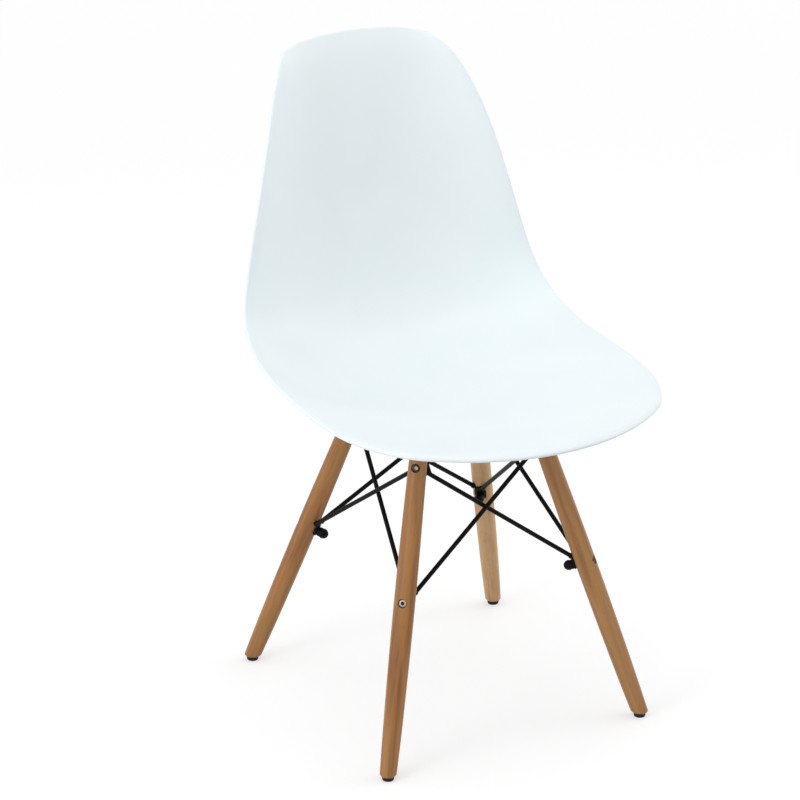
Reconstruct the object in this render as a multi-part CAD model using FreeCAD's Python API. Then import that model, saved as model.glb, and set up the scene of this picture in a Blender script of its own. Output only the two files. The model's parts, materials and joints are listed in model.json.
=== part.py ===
import FreeCAD, Part
import math
import os

from FreeCAD import Vector

# A moulded plastic shell chair on four turned wooden legs, braced by crossed steel rods.
# Millimetres. +Z is up, the chair faces -Y, and +X is on the right of someone who faces it.
# The origin is on the floor, at the middle of the chair's width and depth.

# Seat shell: side view of its middle line, on the sitter's face, from front lip to top.
# Each row is a control point (y, z) of one smooth curve.
MIDDLE_LINE = [
    (-283, 449), (-269, 452), (-208, 442), (-123, 431), (-23, 417), (82, 408), (174, 416),
    (212, 463), (221, 535), (231, 612), (243, 690), (258, 764), (273, 823),
]
# Right-hand edge of the shell, from the front corner round the hip to the top corner.
# Each row is a control point (x, y, z); the left-hand edge mirrors it.
SIDE_EDGE = [
    (171, -220, 449), (191, -202, 450), (213, -163, 452), (227, -108, 454), (228, -32, 457),
    (223, 50, 460), (220, 112, 476), (213, 147, 502), (201, 160, 544), (182, 170, 622),
    (158, 184, 706), (135, 209, 786), (103, 252, 811),
]
SHELL_WALL = 5.0
# Half the angle that the front lip and the top edge turn through between their corners.
FRONT_ARC_ANGLE = 45.0
TOP_ARC_ANGLE = 80.0
# How sharply the seat curls up towards its sides: 2 is a plain bowl, 3 is flatter.
DISH_POWER = 2.6
# The rim rolls outwards by this much.
LIP_DROP = 3.5
# The roll starts at this share of the half width, and of the length, from the edge.
LIP_SHARE_ACROSS = 0.075
LIP_SHARE_ALONG = 0.02
# The front and top edges give way to the side edge over this share of the length.
CORNER_BLEND_SHARE = 0.22
# Rows of the control net: between the middle and the rolled rim, and between both rolled ends.
COUNT_OF_INNER_COLUMNS = 5
COUNT_OF_INNER_ROWS = 17
# The wall's direction is measured over this share, and no nearer to an edge than these.
NORMAL_STEP = 0.002
NORMAL_MARGIN_ACROSS = 0.01
NORMAL_MARGIN_ALONG = 0.006

# Legs: where each axis meets the floor, and where it meets its upper bolt.
LEGS_BEHIND_MIDDLE = 7.0
FOOT_X = 186.0
FOOT_Y = 191.0
JOINT_X = 90.0
JOINT_Y = 87.0
JOINT_Z = 364.0
LOWER_BOLT_ALONG = 222.0
LEG_ABOVE_JOINT = 17.5
LEG_FOOT_RADIUS = 10.8
LEG_CALF_RADIUS = 12.5
LEG_BELLY_RADIUS = 13.4
LEG_JOINT_RADIUS = 12.0
LEG_CALF_ALONG = 95.0
LEG_TOP_TAPER = 0.7
# Both ends of a leg have a bevel all round: this much narrower at the end face.
LEG_TOP_BEVEL = 2.2
LEG_FOOT_BEVEL = 2.2

# Glides under the legs, each held by a nail.
GLIDE_HEIGHT = 5.0
GLIDE_TOP_RADIUS = 8.2
GLIDE_FLOOR_RADIUS = 7.4
NAIL_RADIUS = 1.25
NAIL_HOLE_CLEARANCE = 0.05
NAIL_HEAD_RADIUS = 3.5
NAIL_HEAD_HEIGHT = 1.2
NAIL_HOLE_DEPTH = 18.0
NAIL_TIP_CLEARANCE = 1.0
NAIL_SINK = 1.8

# Bolts through the legs.
BOLT_RADIUS = 3.0
BOLT_HEAD_RADIUS = 5.0
BOLT_HEAD_HEIGHT = 5.0
BOLT_SOCKET_FLATS = 5.0
BOLT_SOCKET_DEPTH = 3.0
BOLT_HOLE_CLEARANCE = 0.25
COUNTERBORE_RADIUS = 6.2
COUNTERBORE_DEPTH = 6.5
NUT_FLATS = 10.0
NUT_HEIGHT = 5.0
NUT_BORE_CLEARANCE = 0.05
BOLT_TIP_PAST_NUT = 2.0
BOLT_HEAD_BEVEL = 0.6
CAP_NUT_NECK_RADIUS = 4.5
CAP_NUT_NECK_LENGTH = 6.0
CAP_NUT_HEAD_RADIUS = 7.5
CAP_NUT_HEAD_HEIGHT = 5.0
CAP_NUT_BORE_DEPTH = 8.0
CAP_NUT_TIP_CLEARANCE = 1.0
CAP_NUT_EDGE_BEVEL = 1.8

# Pressed saddles that hug the inner side of each leg.
SADDLE_WALL = 2.5
SADDLE_GAP = 0.5
SADDLE_CORNER_ROUND = 5.0
UPPER_SADDLE_WIDTH = 27.0
UPPER_SADDLE_BELOW = 15.0
UPPER_SADDLE_ABOVE = 25.0
LOWER_SADDLE_WIDTH = 25.0
LOWER_SADDLE_BELOW = 9.0
LOWER_SADDLE_ABOVE = 22.0

# Crossed bracing rods: they aim at a point just inside each leg's axis.
ROD_RADIUS = 2.9
ROD_AIM_INSIDE = 7.0
ROD_AIM_ABOVE_LOWER_BOLT = 1.5
ROD_CROSSING_GAP = 0.4
WELD_GAP = 0.1

# Top frame: four round bars between the upper saddles, with a mounting tab at each corner.
TOP_BAR_RADIUS = 5.0
TOP_BAR_Z = 380.0
TOP_BAR_X = 78.0
TOP_BAR_Y = 76.0
TAB_RADIUS = 20.0
TAB_THICKNESS = 3.0
MOUNT_X = 64.0
MOUNT_Y = 62.0

# Seat screws, washers, rubber spacers, and threaded inserts in the shell's bosses.
SPACER_RADIUS = 11.5
SPACER_HEIGHT = 6.0
WASHER_RADIUS = 8.0
WASHER_THICKNESS = 1.5
SCREW_LENGTH = 18.0
SCREW_HEAD_HEIGHT = 3.8
SCREW_HOLE_CLEARANCE = 0.4
INSERT_RADIUS = 4.5
INSERT_LENGTH = 9.0
INSERT_FIT_CLEARANCE = 0.05
BOSS_RADIUS = 13.0

# Cutting tools run past a surface by this much, and edges are picked within this distance.
CUT_MARGIN = 1.0
PICK_DISTANCE = 0.01

UP = Vector(0, 0, 1)
# Across a leg, in its own frame: in to the middle of the chair, and out.
IN = Vector(1, 0, 0)
OUT = Vector(-1, 0, 0)
SIDES = {
    "front_left": (-1, -1),
    "front_right": (1, -1),
    "rear_right": (1, 1),
    "rear_left": (-1, 1),
}


DEGREE = 3


def even_knots(count):
    """Return the knots and their multiplicities that clamp a cubic curve at both ends."""
    spans = count - DEGREE
    ends = [DEGREE + 1]
    return [i / spans for i in range(spans + 1)], ends + [1] * (spans - 1) + ends


def smooth_curve(points):
    """Return a cubic curve, clamped at both ends, with these control points."""
    knots, mults = even_knots(len(points))
    curve = Part.BSplineCurve()
    curve.buildFromPolesMultsKnots(points, mults, knots, False, DEGREE)
    return curve


def smooth_face(net):
    """Return a bicubic face with this net of control points."""
    knots_u, mults_u = even_knots(len(net))
    knots_v, mults_v = even_knots(len(net[0]))
    surface = Part.BSplineSurface()
    surface.buildFromPolesMultsKnots(
        net, mults_u, mults_v, knots_u, knots_v, False, False, DEGREE, DEGREE)
    return surface.toShape()


class ShellForm:
    """The sitter's face of the shell, as a rule: across is -1 to 1, along is 0 to 1."""

    def __init__(self):
        self.middle = smooth_curve([Vector(0, y, z) for y, z in MIDDLE_LINE])
        self.edge = smooth_curve([Vector(*point) for point in SIDE_EDGE])
        self.front_step = self.edge.value(0) - self.middle.value(0)
        self.top_step = self.edge.value(1) - self.middle.value(1)

    def end_edge(self, across, step, half_angle):
        """Return what an end's arc adds to the plain dish, at one place across it.

        The step runs from the middle of that end to its corner.
        """
        angle = math.radians(half_angle)
        sweep = math.sin(across * angle) / math.sin(angle)
        rise = (1 - math.cos(across * angle)) / (1 - math.cos(angle))
        dish = abs(across) ** DISH_POWER
        extra = step * (rise - dish)
        extra.x = step.x * (sweep - across)
        return extra

    def plain_point(self, across, along):
        """Return a point of the face before its rim is rolled."""
        middle = self.middle.value(along)
        step = self.edge.value(along) - middle
        dish = abs(across) ** DISH_POWER
        point = middle + step * dish
        point.x = step.x * across
        near_front = max(0.0, 1 - along / CORNER_BLEND_SHARE) ** 3
        near_top = max(0.0, 1 - (1 - along) / CORNER_BLEND_SHARE) ** 3
        point += self.end_edge(across, self.front_step, FRONT_ARC_ANGLE) * near_front
        point += self.end_edge(across, self.top_step, TOP_ARC_ANGLE) * near_top
        return point

    def normal(self, across, along):
        """Return the direction away from the wall, towards the sitter."""
        step = NORMAL_STEP
        across = min(max(across, NORMAL_MARGIN_ACROSS - 1), 1 - NORMAL_MARGIN_ACROSS)
        along = min(max(along, NORMAL_MARGIN_ALONG), 1 - NORMAL_MARGIN_ALONG)
        over = self.plain_point(across + step, along) - self.plain_point(across - step, along)
        forth = self.plain_point(across, along + step) - self.plain_point(across, along - step)
        result = over.cross(forth)
        return result.normalize()

    def roll(self, across, along):
        """Return how far the rim has rolled outwards, from 0 inside to 1 at the edge."""
        side = max(0.0, 1 - (1 - abs(across)) / LIP_SHARE_ACROSS) ** 2
        end = max(0.0, 1 - min(along, 1 - along) / LIP_SHARE_ALONG) ** 2
        return side + end - side * end

    def face_point(self, across, along, depth=0.0):
        """Return a point on the sitter's face, or at a depth into the wall below it."""
        shift = LIP_DROP * self.roll(across, along) + depth
        return self.plain_point(across, along) - self.normal(across, along) * shift


def across_stations():
    """Return stations across the shell, closer together at the rolled rim."""
    columns = COUNT_OF_INNER_COLUMNS
    half = [(1 - 2 * LIP_SHARE_ACROSS) * i / columns for i in range(columns + 1)]
    half += [1 - LIP_SHARE_ACROSS, 1 - LIP_SHARE_ACROSS / 2, 1.0]
    return [-a for a in reversed(half[1:])] + half


def along_stations():
    """Return stations along the shell, closer together at both rolled ends."""
    lip = [0.0, LIP_SHARE_ALONG / 2, LIP_SHARE_ALONG, 2 * LIP_SHARE_ALONG]
    start = lip[-1]
    rows = COUNT_OF_INNER_ROWS
    middle = [start + (1 - 2 * start) * (i + 1) / (rows + 1) for i in range(rows)]
    return lip + middle + [1 - s for s in reversed(lip)]


def ease_corner(net, corner, before, after):
    """Move a net's corner point onto the line between its neighbours on the rim."""
    start = net[before[0]][before[1]]
    end = net[after[0]][after[1]]
    middle = net[corner[0]][corner[1]]
    share = start.distanceToPoint(middle)
    share /= share + end.distanceToPoint(middle)
    net[corner[0]][corner[1]] = start + (end - start) * share


def rim_strip(inner, outer):
    """Return the strip that closes the wall between two edge rows."""
    first = [a + (b - a) / 3 for a, b in zip(inner, outer)]
    second = [b + (a - b) / 3 for a, b in zip(inner, outer)]
    return smooth_face([inner, first, second, outer])


def shell_wall(form, wall):
    """Return the shell at one wall thickness: two faces joined by four rim strips."""
    across = across_stations()
    along = along_stations()
    inner = [[form.face_point(a, s) for s in along] for a in across]
    outer = [[form.face_point(a, s, wall) for s in along] for a in across]
    last_a = len(across) - 1
    last_s = len(along) - 1
    front = [(i, 0) for i in range(last_a)]
    right = [(last_a, j) for j in range(last_s)]
    top = [(i, last_s) for i in range(last_a, 0, -1)]
    left = [(0, j) for j in range(last_s, 0, -1)]
    loop = front + right + top + left
    for start in (0, len(front), len(front) + len(right), len(loop) - len(left)):
        for net in (inner, outer):
            ease_corner(net, loop[start], loop[start - 1], loop[start + 1])
    faces = [smooth_face(inner), smooth_face(outer)]
    for side in (front + [(last_a, 0)], right + [(last_a, last_s)],
                 top + [(0, last_s)], left + [(0, 0)]):
        faces.append(rim_strip(
            [inner[i][j] for i, j in side],
            [outer[i][j] for i, j in side]))
    skin = Part.Compound(faces)
    skin.sewShape()
    body = Part.Solid(skin.Shells[0])
    if body.Volume < 0:
        body.reverse()
    return body


def cylinder(radius, height, base=Vector(0, 0, 0), direction=UP):
    """Return a cylinder that starts at base and runs along direction."""
    return Part.makeCylinder(radius, height, base, direction)


def hexagon(flats, height, base, direction):
    """Return a hexagonal prism, centred on base, that runs along direction."""
    reach = flats / math.sqrt(3)
    corners = []
    for i in range(6):
        angle = math.radians(60 * i)
        corners.append(Vector(reach * math.cos(angle), reach * math.sin(angle), 0))
    outline = Part.makePolygon(corners + corners[:1])
    prism = Part.Face(outline).extrude(UP * height)
    prism.Placement = FreeCAD.Placement(base, FreeCAD.Rotation(UP, direction))
    return prism


def mount_points():
    """Yield each corner's name and the point of its seat screw at height 0."""
    for corner, (sx, sy) in SIDES.items():
        yield corner, Vector(sx * MOUNT_X, sy * MOUNT_Y + LEGS_BEHIND_MIDDLE, 0)


TAB_BOTTOM_Z = TOP_BAR_Z + TOP_BAR_RADIUS
SPACER_BOTTOM_Z = TAB_BOTTOM_Z + TAB_THICKNESS
BOSS_BOTTOM_Z = SPACER_BOTTOM_Z + SPACER_HEIGHT


def seat_shell():
    """Return the shell with its four bosses, bored for the threaded inserts."""
    form = ShellForm()
    shell = shell_wall(form, SHELL_WALL)
    upper_half = shell_wall(form, SHELL_WALL / 2)
    reach = max(z for _, z in MIDDLE_LINE[:6])
    for _, point in mount_points():
        boss = cylinder(BOSS_RADIUS, reach - BOSS_BOTTOM_Z, point + UP * BOSS_BOTTOM_Z)
        pieces = boss.cut(upper_half).Solids
        shell = shell.fuse(min(pieces, key=lambda solid: solid.CenterOfMass.z))
    for _, point in mount_points():
        base = point + UP * BOSS_BOTTOM_Z
        shell = shell.cut(cylinder(INSERT_RADIUS + INSERT_FIT_CLEARANCE, INSERT_LENGTH, base))
    return shell


class Leg:
    """One leg's place: local +Z runs up its axis and local +X leans in to the middle."""

    def __init__(self, sx, sy):
        shift = Vector(0, LEGS_BEHIND_MIDDLE, 0)
        self.foot = Vector(sx * FOOT_X, sy * FOOT_Y, 0) + shift
        self.joint = Vector(sx * JOINT_X, sy * JOINT_Y, JOINT_Z) + shift
        self.axis = (self.joint - self.foot).normalize()
        level = Vector(self.axis.x, self.axis.y, 0).normalize()
        self.inward = (level - self.axis * level.dot(self.axis)).normalize()
        across = self.axis.cross(self.inward)
        self.upper = self.joint.distanceToPoint(self.foot)
        self.place = FreeCAD.Placement(FreeCAD.Matrix(
            self.inward.x, across.x, self.axis.x, self.foot.x,
            self.inward.y, across.y, self.axis.y, self.foot.y,
            self.inward.z, across.z, self.axis.z, self.foot.z,
            0, 0, 0, 1))

    def put(self, shape):
        """Return a shape that was made about the leg's axis, moved to the leg."""
        shape.Placement = self.place.multiply(shape.Placement)
        return shape


def leg_turning(upper):
    """Return the turned blank, a long cigar with a bevelled top, with its axis on local Z."""
    end = upper + LEG_ABOVE_JOINT
    rim_radius = LEG_JOINT_RADIUS - LEG_TOP_TAPER
    profile = [
        (0, -GLIDE_HEIGHT),
        (LEG_FOOT_RADIUS, -GLIDE_HEIGHT),
        (LEG_CALF_RADIUS, LEG_CALF_ALONG),
        (LEG_BELLY_RADIUS, LOWER_BOLT_ALONG),
        (LEG_JOINT_RADIUS, upper),
        (rim_radius, end - LEG_TOP_BEVEL),
        (rim_radius - LEG_TOP_BEVEL, end),
        (0, end),
        (0, -GLIDE_HEIGHT),
    ]
    outline = Part.makePolygon([Vector(0, radius, z) for radius, z in profile])
    return Part.Face(outline).revolve(Vector(0, 0, 0), UP, 360)


def foot_centre(leg):
    """Return the point where the leg's axis meets the top of its glide."""
    return leg.foot + leg.axis * (GLIDE_HEIGHT / leg.axis.z)


def leg_piece(leg):
    """Return a leg: sawn level and bevelled at the foot, and bored for bolts."""
    body = leg.put(leg_turning(leg.upper))
    centre = foot_centre(leg)
    height = 2 * leg.joint.z
    narrow = LEG_FOOT_RADIUS - LEG_FOOT_BEVEL
    body = body.common(Part.makeCone(narrow, narrow + height, height,
                                     Vector(centre.x, centre.y, GLIDE_HEIGHT)))
    reach = 2 * LEG_BELLY_RADIUS
    cuts = []
    for along, radius in ((leg.upper, LEG_JOINT_RADIUS), (LOWER_BOLT_ALONG, LEG_BELLY_RADIUS)):
        seat = radius - COUNTERBORE_DEPTH
        cuts.append(cylinder(BOLT_RADIUS + BOLT_HOLE_CLEARANCE, 2 * reach,
                             Vector(-reach, 0, along), IN))
        cuts.append(cylinder(COUNTERBORE_RADIUS, reach, Vector(-seat, 0, along), OUT))
    for tool in cuts:
        body = body.cut(leg.put(tool))
    nail_hole = cylinder(NAIL_RADIUS + NAIL_HOLE_CLEARANCE, NAIL_HOLE_DEPTH,
                         Vector(centre.x, centre.y, NAIL_SINK))
    return body.cut(nail_hole)


def glide_piece(leg):
    """Return a leg's glide: a low tapered disc with a countersunk nail hole."""
    centre = foot_centre(leg)
    base = Vector(centre.x, centre.y, 0)
    disc = Part.makeCone(GLIDE_FLOOR_RADIUS, GLIDE_TOP_RADIUS, GLIDE_HEIGHT, base)
    disc = disc.cut(cylinder(NAIL_RADIUS + NAIL_HOLE_CLEARANCE, GLIDE_HEIGHT, base))
    return disc.cut(cylinder(NAIL_HEAD_RADIUS + NAIL_HOLE_CLEARANCE, NAIL_SINK, base))


def nail_piece(leg):
    """Return the nail that holds a glide, with its flat head sunk below the glide's face."""
    centre = foot_centre(leg)
    seat = Vector(centre.x, centre.y, NAIL_SINK)
    head = cylinder(NAIL_HEAD_RADIUS, NAIL_HEAD_HEIGHT, seat - UP * NAIL_HEAD_HEIGHT)
    return head.fuse(cylinder(NAIL_RADIUS, NAIL_HOLE_DEPTH - NAIL_TIP_CLEARANCE, seat))


def saddle_radius(leg_radius):
    """Return the outer radius of a saddle round a leg of this radius."""
    return leg_radius + SADDLE_GAP + SADDLE_WALL


def rounded_plate(width, low, high, corner, depth):
    """Return a plate in the local YZ plane, with round corners, that runs along +X."""
    half = width / 2
    plate = Part.makeBox(depth, width, high - low, Vector(0, -half, low))
    edges = [e for e in plate.Edges if abs(e.Length - depth) < PICK_DISTANCE]
    return plate.makeFillet(corner, edges)


def saddle_piece(leg, along, leg_radius, width, below, above):
    """Return a pressed saddle: a curved plate with round corners and a bolt hole."""
    outer = saddle_radius(leg_radius)
    height = below + above
    sheet = cylinder(outer, height, Vector(0, 0, along - below))
    sheet = sheet.cut(cylinder(outer - SADDLE_WALL, height, Vector(0, 0, along - below)))
    plate = rounded_plate(width, along - below, along + above, SADDLE_CORNER_ROUND,
                          outer + CUT_MARGIN)
    sheet = sheet.common(plate)
    sheet = sheet.cut(cylinder(BOLT_RADIUS + BOLT_HOLE_CLEARANCE, outer + CUT_MARGIN,
                               Vector(0, 0, along), IN))
    return leg.put(sheet.Solids[0])


def bolt_piece(leg, along, leg_radius, tip):
    """Return a socket-head bolt that runs inwards through the leg to the tip's distance."""
    seat = leg_radius - COUNTERBORE_DEPTH
    head = cylinder(BOLT_HEAD_RADIUS, BOLT_HEAD_HEIGHT, Vector(-seat, 0, along), OUT)
    rim = [e for e in head.Edges if e.BoundBox.XMax < -seat - BOLT_HEAD_HEIGHT + PICK_DISTANCE]
    head = head.makeChamfer(BOLT_HEAD_BEVEL, rim)
    face = Vector(-seat - BOLT_HEAD_HEIGHT, 0, along)
    head = head.cut(hexagon(BOLT_SOCKET_FLATS, BOLT_SOCKET_DEPTH, face, IN))
    shank = cylinder(BOLT_RADIUS, seat + tip, Vector(-seat, 0, along), IN)
    return leg.put(head.fuse(shank))


def weld_nut_piece(leg):
    """Return the hexagon nut on the inner face of the upper saddle."""
    start = saddle_radius(LEG_JOINT_RADIUS)
    base = Vector(start, 0, leg.upper)
    nut = hexagon(NUT_FLATS, NUT_HEIGHT, base, IN)
    return leg.put(nut.cut(cylinder(BOLT_RADIUS + NUT_BORE_CLEARANCE, NUT_HEIGHT, base, IN)))


def cap_nut_piece(leg):
    """Return the lower joint's cap nut: a round neck with a wide domed head."""
    start = saddle_radius(LEG_BELLY_RADIUS)
    base = Vector(start, 0, LOWER_BOLT_ALONG)
    neck = cylinder(CAP_NUT_NECK_RADIUS, CAP_NUT_NECK_LENGTH, base, IN)
    head_x = start + CAP_NUT_NECK_LENGTH
    head = cylinder(CAP_NUT_HEAD_RADIUS, CAP_NUT_HEAD_HEIGHT,
                    Vector(head_x, 0, LOWER_BOLT_ALONG), IN)
    top = head_x + CAP_NUT_HEAD_HEIGHT
    rim = [e for e in head.Edges if e.BoundBox.XMin > top - PICK_DISTANCE]
    head = head.makeChamfer(CAP_NUT_EDGE_BEVEL, rim)
    bore = cylinder(BOLT_RADIUS + NUT_BORE_CLEARANCE, CAP_NUT_BORE_DEPTH, base, IN)
    return leg.put(neck.fuse(head).cut(bore))


def saddle_envelope(leg, along, leg_radius):
    """Return a solid round the leg that trims what is welded to the saddle there."""
    reach = 5 * leg_radius
    return leg.put(cylinder(saddle_radius(leg_radius) + WELD_GAP, 2 * reach,
                            Vector(0, 0, along - reach)))


def bar_between(start, end, radius):
    """Return a round bar from one point to another."""
    run = end - start
    return cylinder(radius, run.Length, start, run)


def brace_piece(high, low, inner):
    """Return a rod from one leg's upper saddle to the next leg's lower saddle."""
    start = high.joint + high.inward * ROD_AIM_INSIDE
    bolt = low.foot + low.axis * LOWER_BOLT_ALONG
    end = bolt + low.inward * ROD_AIM_INSIDE + low.axis * ROD_AIM_ABOVE_LOWER_BOLT
    along_side = Vector(start.x - end.x, start.y - end.y, 0)
    if abs(along_side.x) > abs(along_side.y):
        aside = Vector(0, -1 if high.foot.y > LEGS_BEHIND_MIDDLE else 1, 0)
    else:
        aside = Vector(-1 if high.foot.x > 0 else 1, 0, 0)
    shift = aside * ((ROD_RADIUS + ROD_CROSSING_GAP / 2) * (1 if inner else -1))
    rod = bar_between(start + shift, end + shift, ROD_RADIUS)
    rod = rod.cut(saddle_envelope(high, high.upper, LEG_JOINT_RADIUS))
    rod = rod.cut(saddle_envelope(low, LOWER_BOLT_ALONG, LEG_BELLY_RADIUS))
    nut_room = cylinder(NUT_FLATS / math.sqrt(3) + WELD_GAP,
                        saddle_radius(LEG_JOINT_RADIUS) + NUT_HEIGHT + WELD_GAP,
                        Vector(0, 0, high.upper), IN)
    rod = rod.cut(high.put(nut_room))
    return max(rod.Solids, key=lambda solid: solid.Volume)


def top_bar_piece(first, second, start, end):
    """Return one bar of the top frame, coped to the two saddles that it joins."""
    bar = bar_between(start, end, TOP_BAR_RADIUS)
    for leg in (first, second):
        bar = bar.cut(saddle_envelope(leg, leg.upper, LEG_JOINT_RADIUS))
    return max(bar.Solids, key=lambda solid: solid.Volume)


def ring_at(point, z, height, radius, bore):
    """Return a flat ring round a mount point, from height z upwards."""
    base = point + UP * z
    return cylinder(radius, height, base).cut(cylinder(bore, height, base))


def screw_piece(point):
    """Return a hexagon-head seat screw, from under the tab up into its insert."""
    seat = point + UP * (TAB_BOTTOM_Z - WASHER_THICKNESS)
    head = hexagon(NUT_FLATS, SCREW_HEAD_HEIGHT, seat - UP * SCREW_HEAD_HEIGHT, UP)
    return head.fuse(cylinder(BOLT_RADIUS, SCREW_LENGTH, seat))


def build():
    """Return every node of the chair, by name."""
    legs = {corner: Leg(sx, sy) for corner, (sx, sy) in SIDES.items()}
    nodes = {"seat_shell": seat_shell()}
    hole = BOLT_RADIUS + SCREW_HOLE_CLEARANCE
    inserts = []
    screws = []
    washers = []
    tabs = []
    spacers = []
    for _, point in mount_points():
        tabs.append(ring_at(point, TAB_BOTTOM_Z, TAB_THICKNESS, TAB_RADIUS, hole))
        spacers.append(ring_at(point, SPACER_BOTTOM_Z, SPACER_HEIGHT, SPACER_RADIUS, hole))
        inserts.append(ring_at(point, BOSS_BOTTOM_Z, INSERT_LENGTH, INSERT_RADIUS,
                               BOLT_RADIUS + NUT_BORE_CLEARANCE))
        washers.append(ring_at(point, TAB_BOTTOM_Z - WASHER_THICKNESS, WASHER_THICKNESS,
                               WASHER_RADIUS, hole))
        screws.append(screw_piece(point))
    nodes["shell_threaded_inserts"] = Part.Compound(inserts)
    nodes["seat_screws"] = Part.Compound(screws)
    nodes["seat_screw_washers"] = Part.Compound(washers)
    nodes["mounting_tabs"] = Part.Compound(tabs)
    nodes["rubber_spacers"] = Part.Compound(spacers)

    glides = []
    nails = []
    upper_bolts = []
    lower_bolts = []
    weld_nuts = []
    cap_nuts = []
    upper_tip = saddle_radius(LEG_JOINT_RADIUS) + NUT_HEIGHT + BOLT_TIP_PAST_NUT
    lower_tip = saddle_radius(LEG_BELLY_RADIUS) + CAP_NUT_BORE_DEPTH - CAP_NUT_TIP_CLEARANCE
    for corner, leg in legs.items():
        nodes["leg_" + corner] = leg_piece(leg)
        glides.append(glide_piece(leg))
        nodes["upper_saddle_" + corner] = saddle_piece(
            leg, leg.upper, LEG_JOINT_RADIUS, UPPER_SADDLE_WIDTH,
            UPPER_SADDLE_BELOW, UPPER_SADDLE_ABOVE)
        nodes["lower_saddle_" + corner] = saddle_piece(
            leg, LOWER_BOLT_ALONG, LEG_BELLY_RADIUS, LOWER_SADDLE_WIDTH,
            LOWER_SADDLE_BELOW, LOWER_SADDLE_ABOVE)
        nails.append(nail_piece(leg))
        upper_bolts.append(bolt_piece(leg, leg.upper, LEG_JOINT_RADIUS, upper_tip))
        lower_bolts.append(bolt_piece(leg, LOWER_BOLT_ALONG, LEG_BELLY_RADIUS, lower_tip))
        weld_nuts.append(weld_nut_piece(leg))
        cap_nuts.append(cap_nut_piece(leg))
    nodes["glides"] = Part.Compound(glides)
    nodes["glide_nails"] = Part.Compound(nails)
    nodes["upper_leg_bolts"] = Part.Compound(upper_bolts)
    nodes["lower_leg_bolts"] = Part.Compound(lower_bolts)
    nodes["upper_weld_nuts"] = Part.Compound(weld_nuts)
    nodes["lower_cap_nuts"] = Part.Compound(cap_nuts)

    corners = list(SIDES)
    for k, corner in enumerate(corners):
        following = corners[(k + 1) % len(corners)]
        nodes["brace_" + corner + "_to_" + following] = brace_piece(
            legs[corner], legs[following], True)
        nodes["brace_" + following + "_to_" + corner] = brace_piece(
            legs[following], legs[corner], False)

    front = Vector(0, LEGS_BEHIND_MIDDLE - TOP_BAR_Y, TOP_BAR_Z)
    rear = Vector(0, LEGS_BEHIND_MIDDLE + TOP_BAR_Y, TOP_BAR_Z)
    half_x = Vector(JOINT_X, 0, 0)
    for name, centre in (("front", front), ("rear", rear)):
        nodes["top_bar_" + name] = top_bar_piece(
            legs[name + "_left"], legs[name + "_right"], centre - half_x, centre + half_x)
    half_y = Vector(0, JOINT_Y, 0)
    for name, sx in (("left", -1), ("right", 1)):
        centre = Vector(sx * TOP_BAR_X, LEGS_BEHIND_MIDDLE, TOP_BAR_Z)
        nodes["top_bar_" + name] = top_bar_piece(
            legs["front_" + name], legs["rear_" + name], centre - half_y, centre + half_y)
    return nodes


os.makedirs("parts", exist_ok=True)
for node_name, shape in build().items():
    shape.exportStep("parts/" + node_name + ".step")
    box = shape.BoundBox
    print(node_name, len(shape.Solids), shape.isValid(), round(shape.Volume / 1000, 2),
          [round(v, 1) for v in (box.XMin, box.YMin, box.ZMin, box.XMax, box.YMax, box.ZMax)])
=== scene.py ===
import json
import logging
import math
from dataclasses import dataclass, field
from enum import Enum
from typing import Optional, Sequence

import bmesh
import bpy
import numpy as np
from bpy.types import ID, Material, Mesh, Node, NodeTree, Object
from bpy.types import NodeSocket as Socket
from mathutils import Matrix, Vector


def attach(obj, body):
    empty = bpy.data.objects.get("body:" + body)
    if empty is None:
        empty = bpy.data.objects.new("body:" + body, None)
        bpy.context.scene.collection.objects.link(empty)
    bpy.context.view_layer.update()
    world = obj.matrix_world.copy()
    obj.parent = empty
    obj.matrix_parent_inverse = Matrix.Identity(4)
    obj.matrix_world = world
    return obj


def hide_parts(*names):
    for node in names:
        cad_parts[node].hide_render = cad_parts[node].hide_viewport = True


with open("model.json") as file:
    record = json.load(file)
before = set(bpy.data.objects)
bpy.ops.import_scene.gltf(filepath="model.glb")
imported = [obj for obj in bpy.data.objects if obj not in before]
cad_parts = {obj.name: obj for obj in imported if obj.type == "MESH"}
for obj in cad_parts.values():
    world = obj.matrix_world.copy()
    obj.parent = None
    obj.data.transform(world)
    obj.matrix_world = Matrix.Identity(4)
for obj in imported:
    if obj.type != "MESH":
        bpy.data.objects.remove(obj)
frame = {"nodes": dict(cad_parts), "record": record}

# Looks for a moulded plastic shell chair on turned wooden legs. Metres, in the frame's axes:
# +Z is up, the chair faces -Y, and +X is on the right of someone who faces it.
# Most of a noise's values lie in NOISE_BAND. A lathe's profile starts and ends at the radius ON_AXIS.

LOG = logging.getLogger("shell_chair")
BODY = "root"
SAME_PLACE = 1e-7
ON_AXIS = 0.0001
BEVEL_MIDDLE = 0.3
NOISE_BAND = (0.3, 0.7)
UP = Vector((0, 0, 1))
WHITE = (1, 1, 1, 1)

Colour = tuple[float, float, float]
Triple = tuple[float, float, float]
Pair = tuple[float, float]
Span = tuple[float, float, float, float]
Place = tuple[Vector, Vector, Vector]
Ends = list[tuple[Vector, Vector]]


class Corner(Enum):
    """The four legs, by the signs of their X and Y."""

    FRONT_LEFT = (-1, -1)
    FRONT_RIGHT = (1, -1)
    REAR_RIGHT = (1, 1)
    REAR_LEFT = (-1, 1)

    @property
    def label(self) -> str:
        """The corner's part of a CAD node's name."""
        return self.name.lower()

    @property
    def following(self) -> "Corner":
        """The next corner round the chair."""
        corners = list(Corner)
        return corners[(corners.index(self) + 1) % len(corners)]


# Node trees


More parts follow.
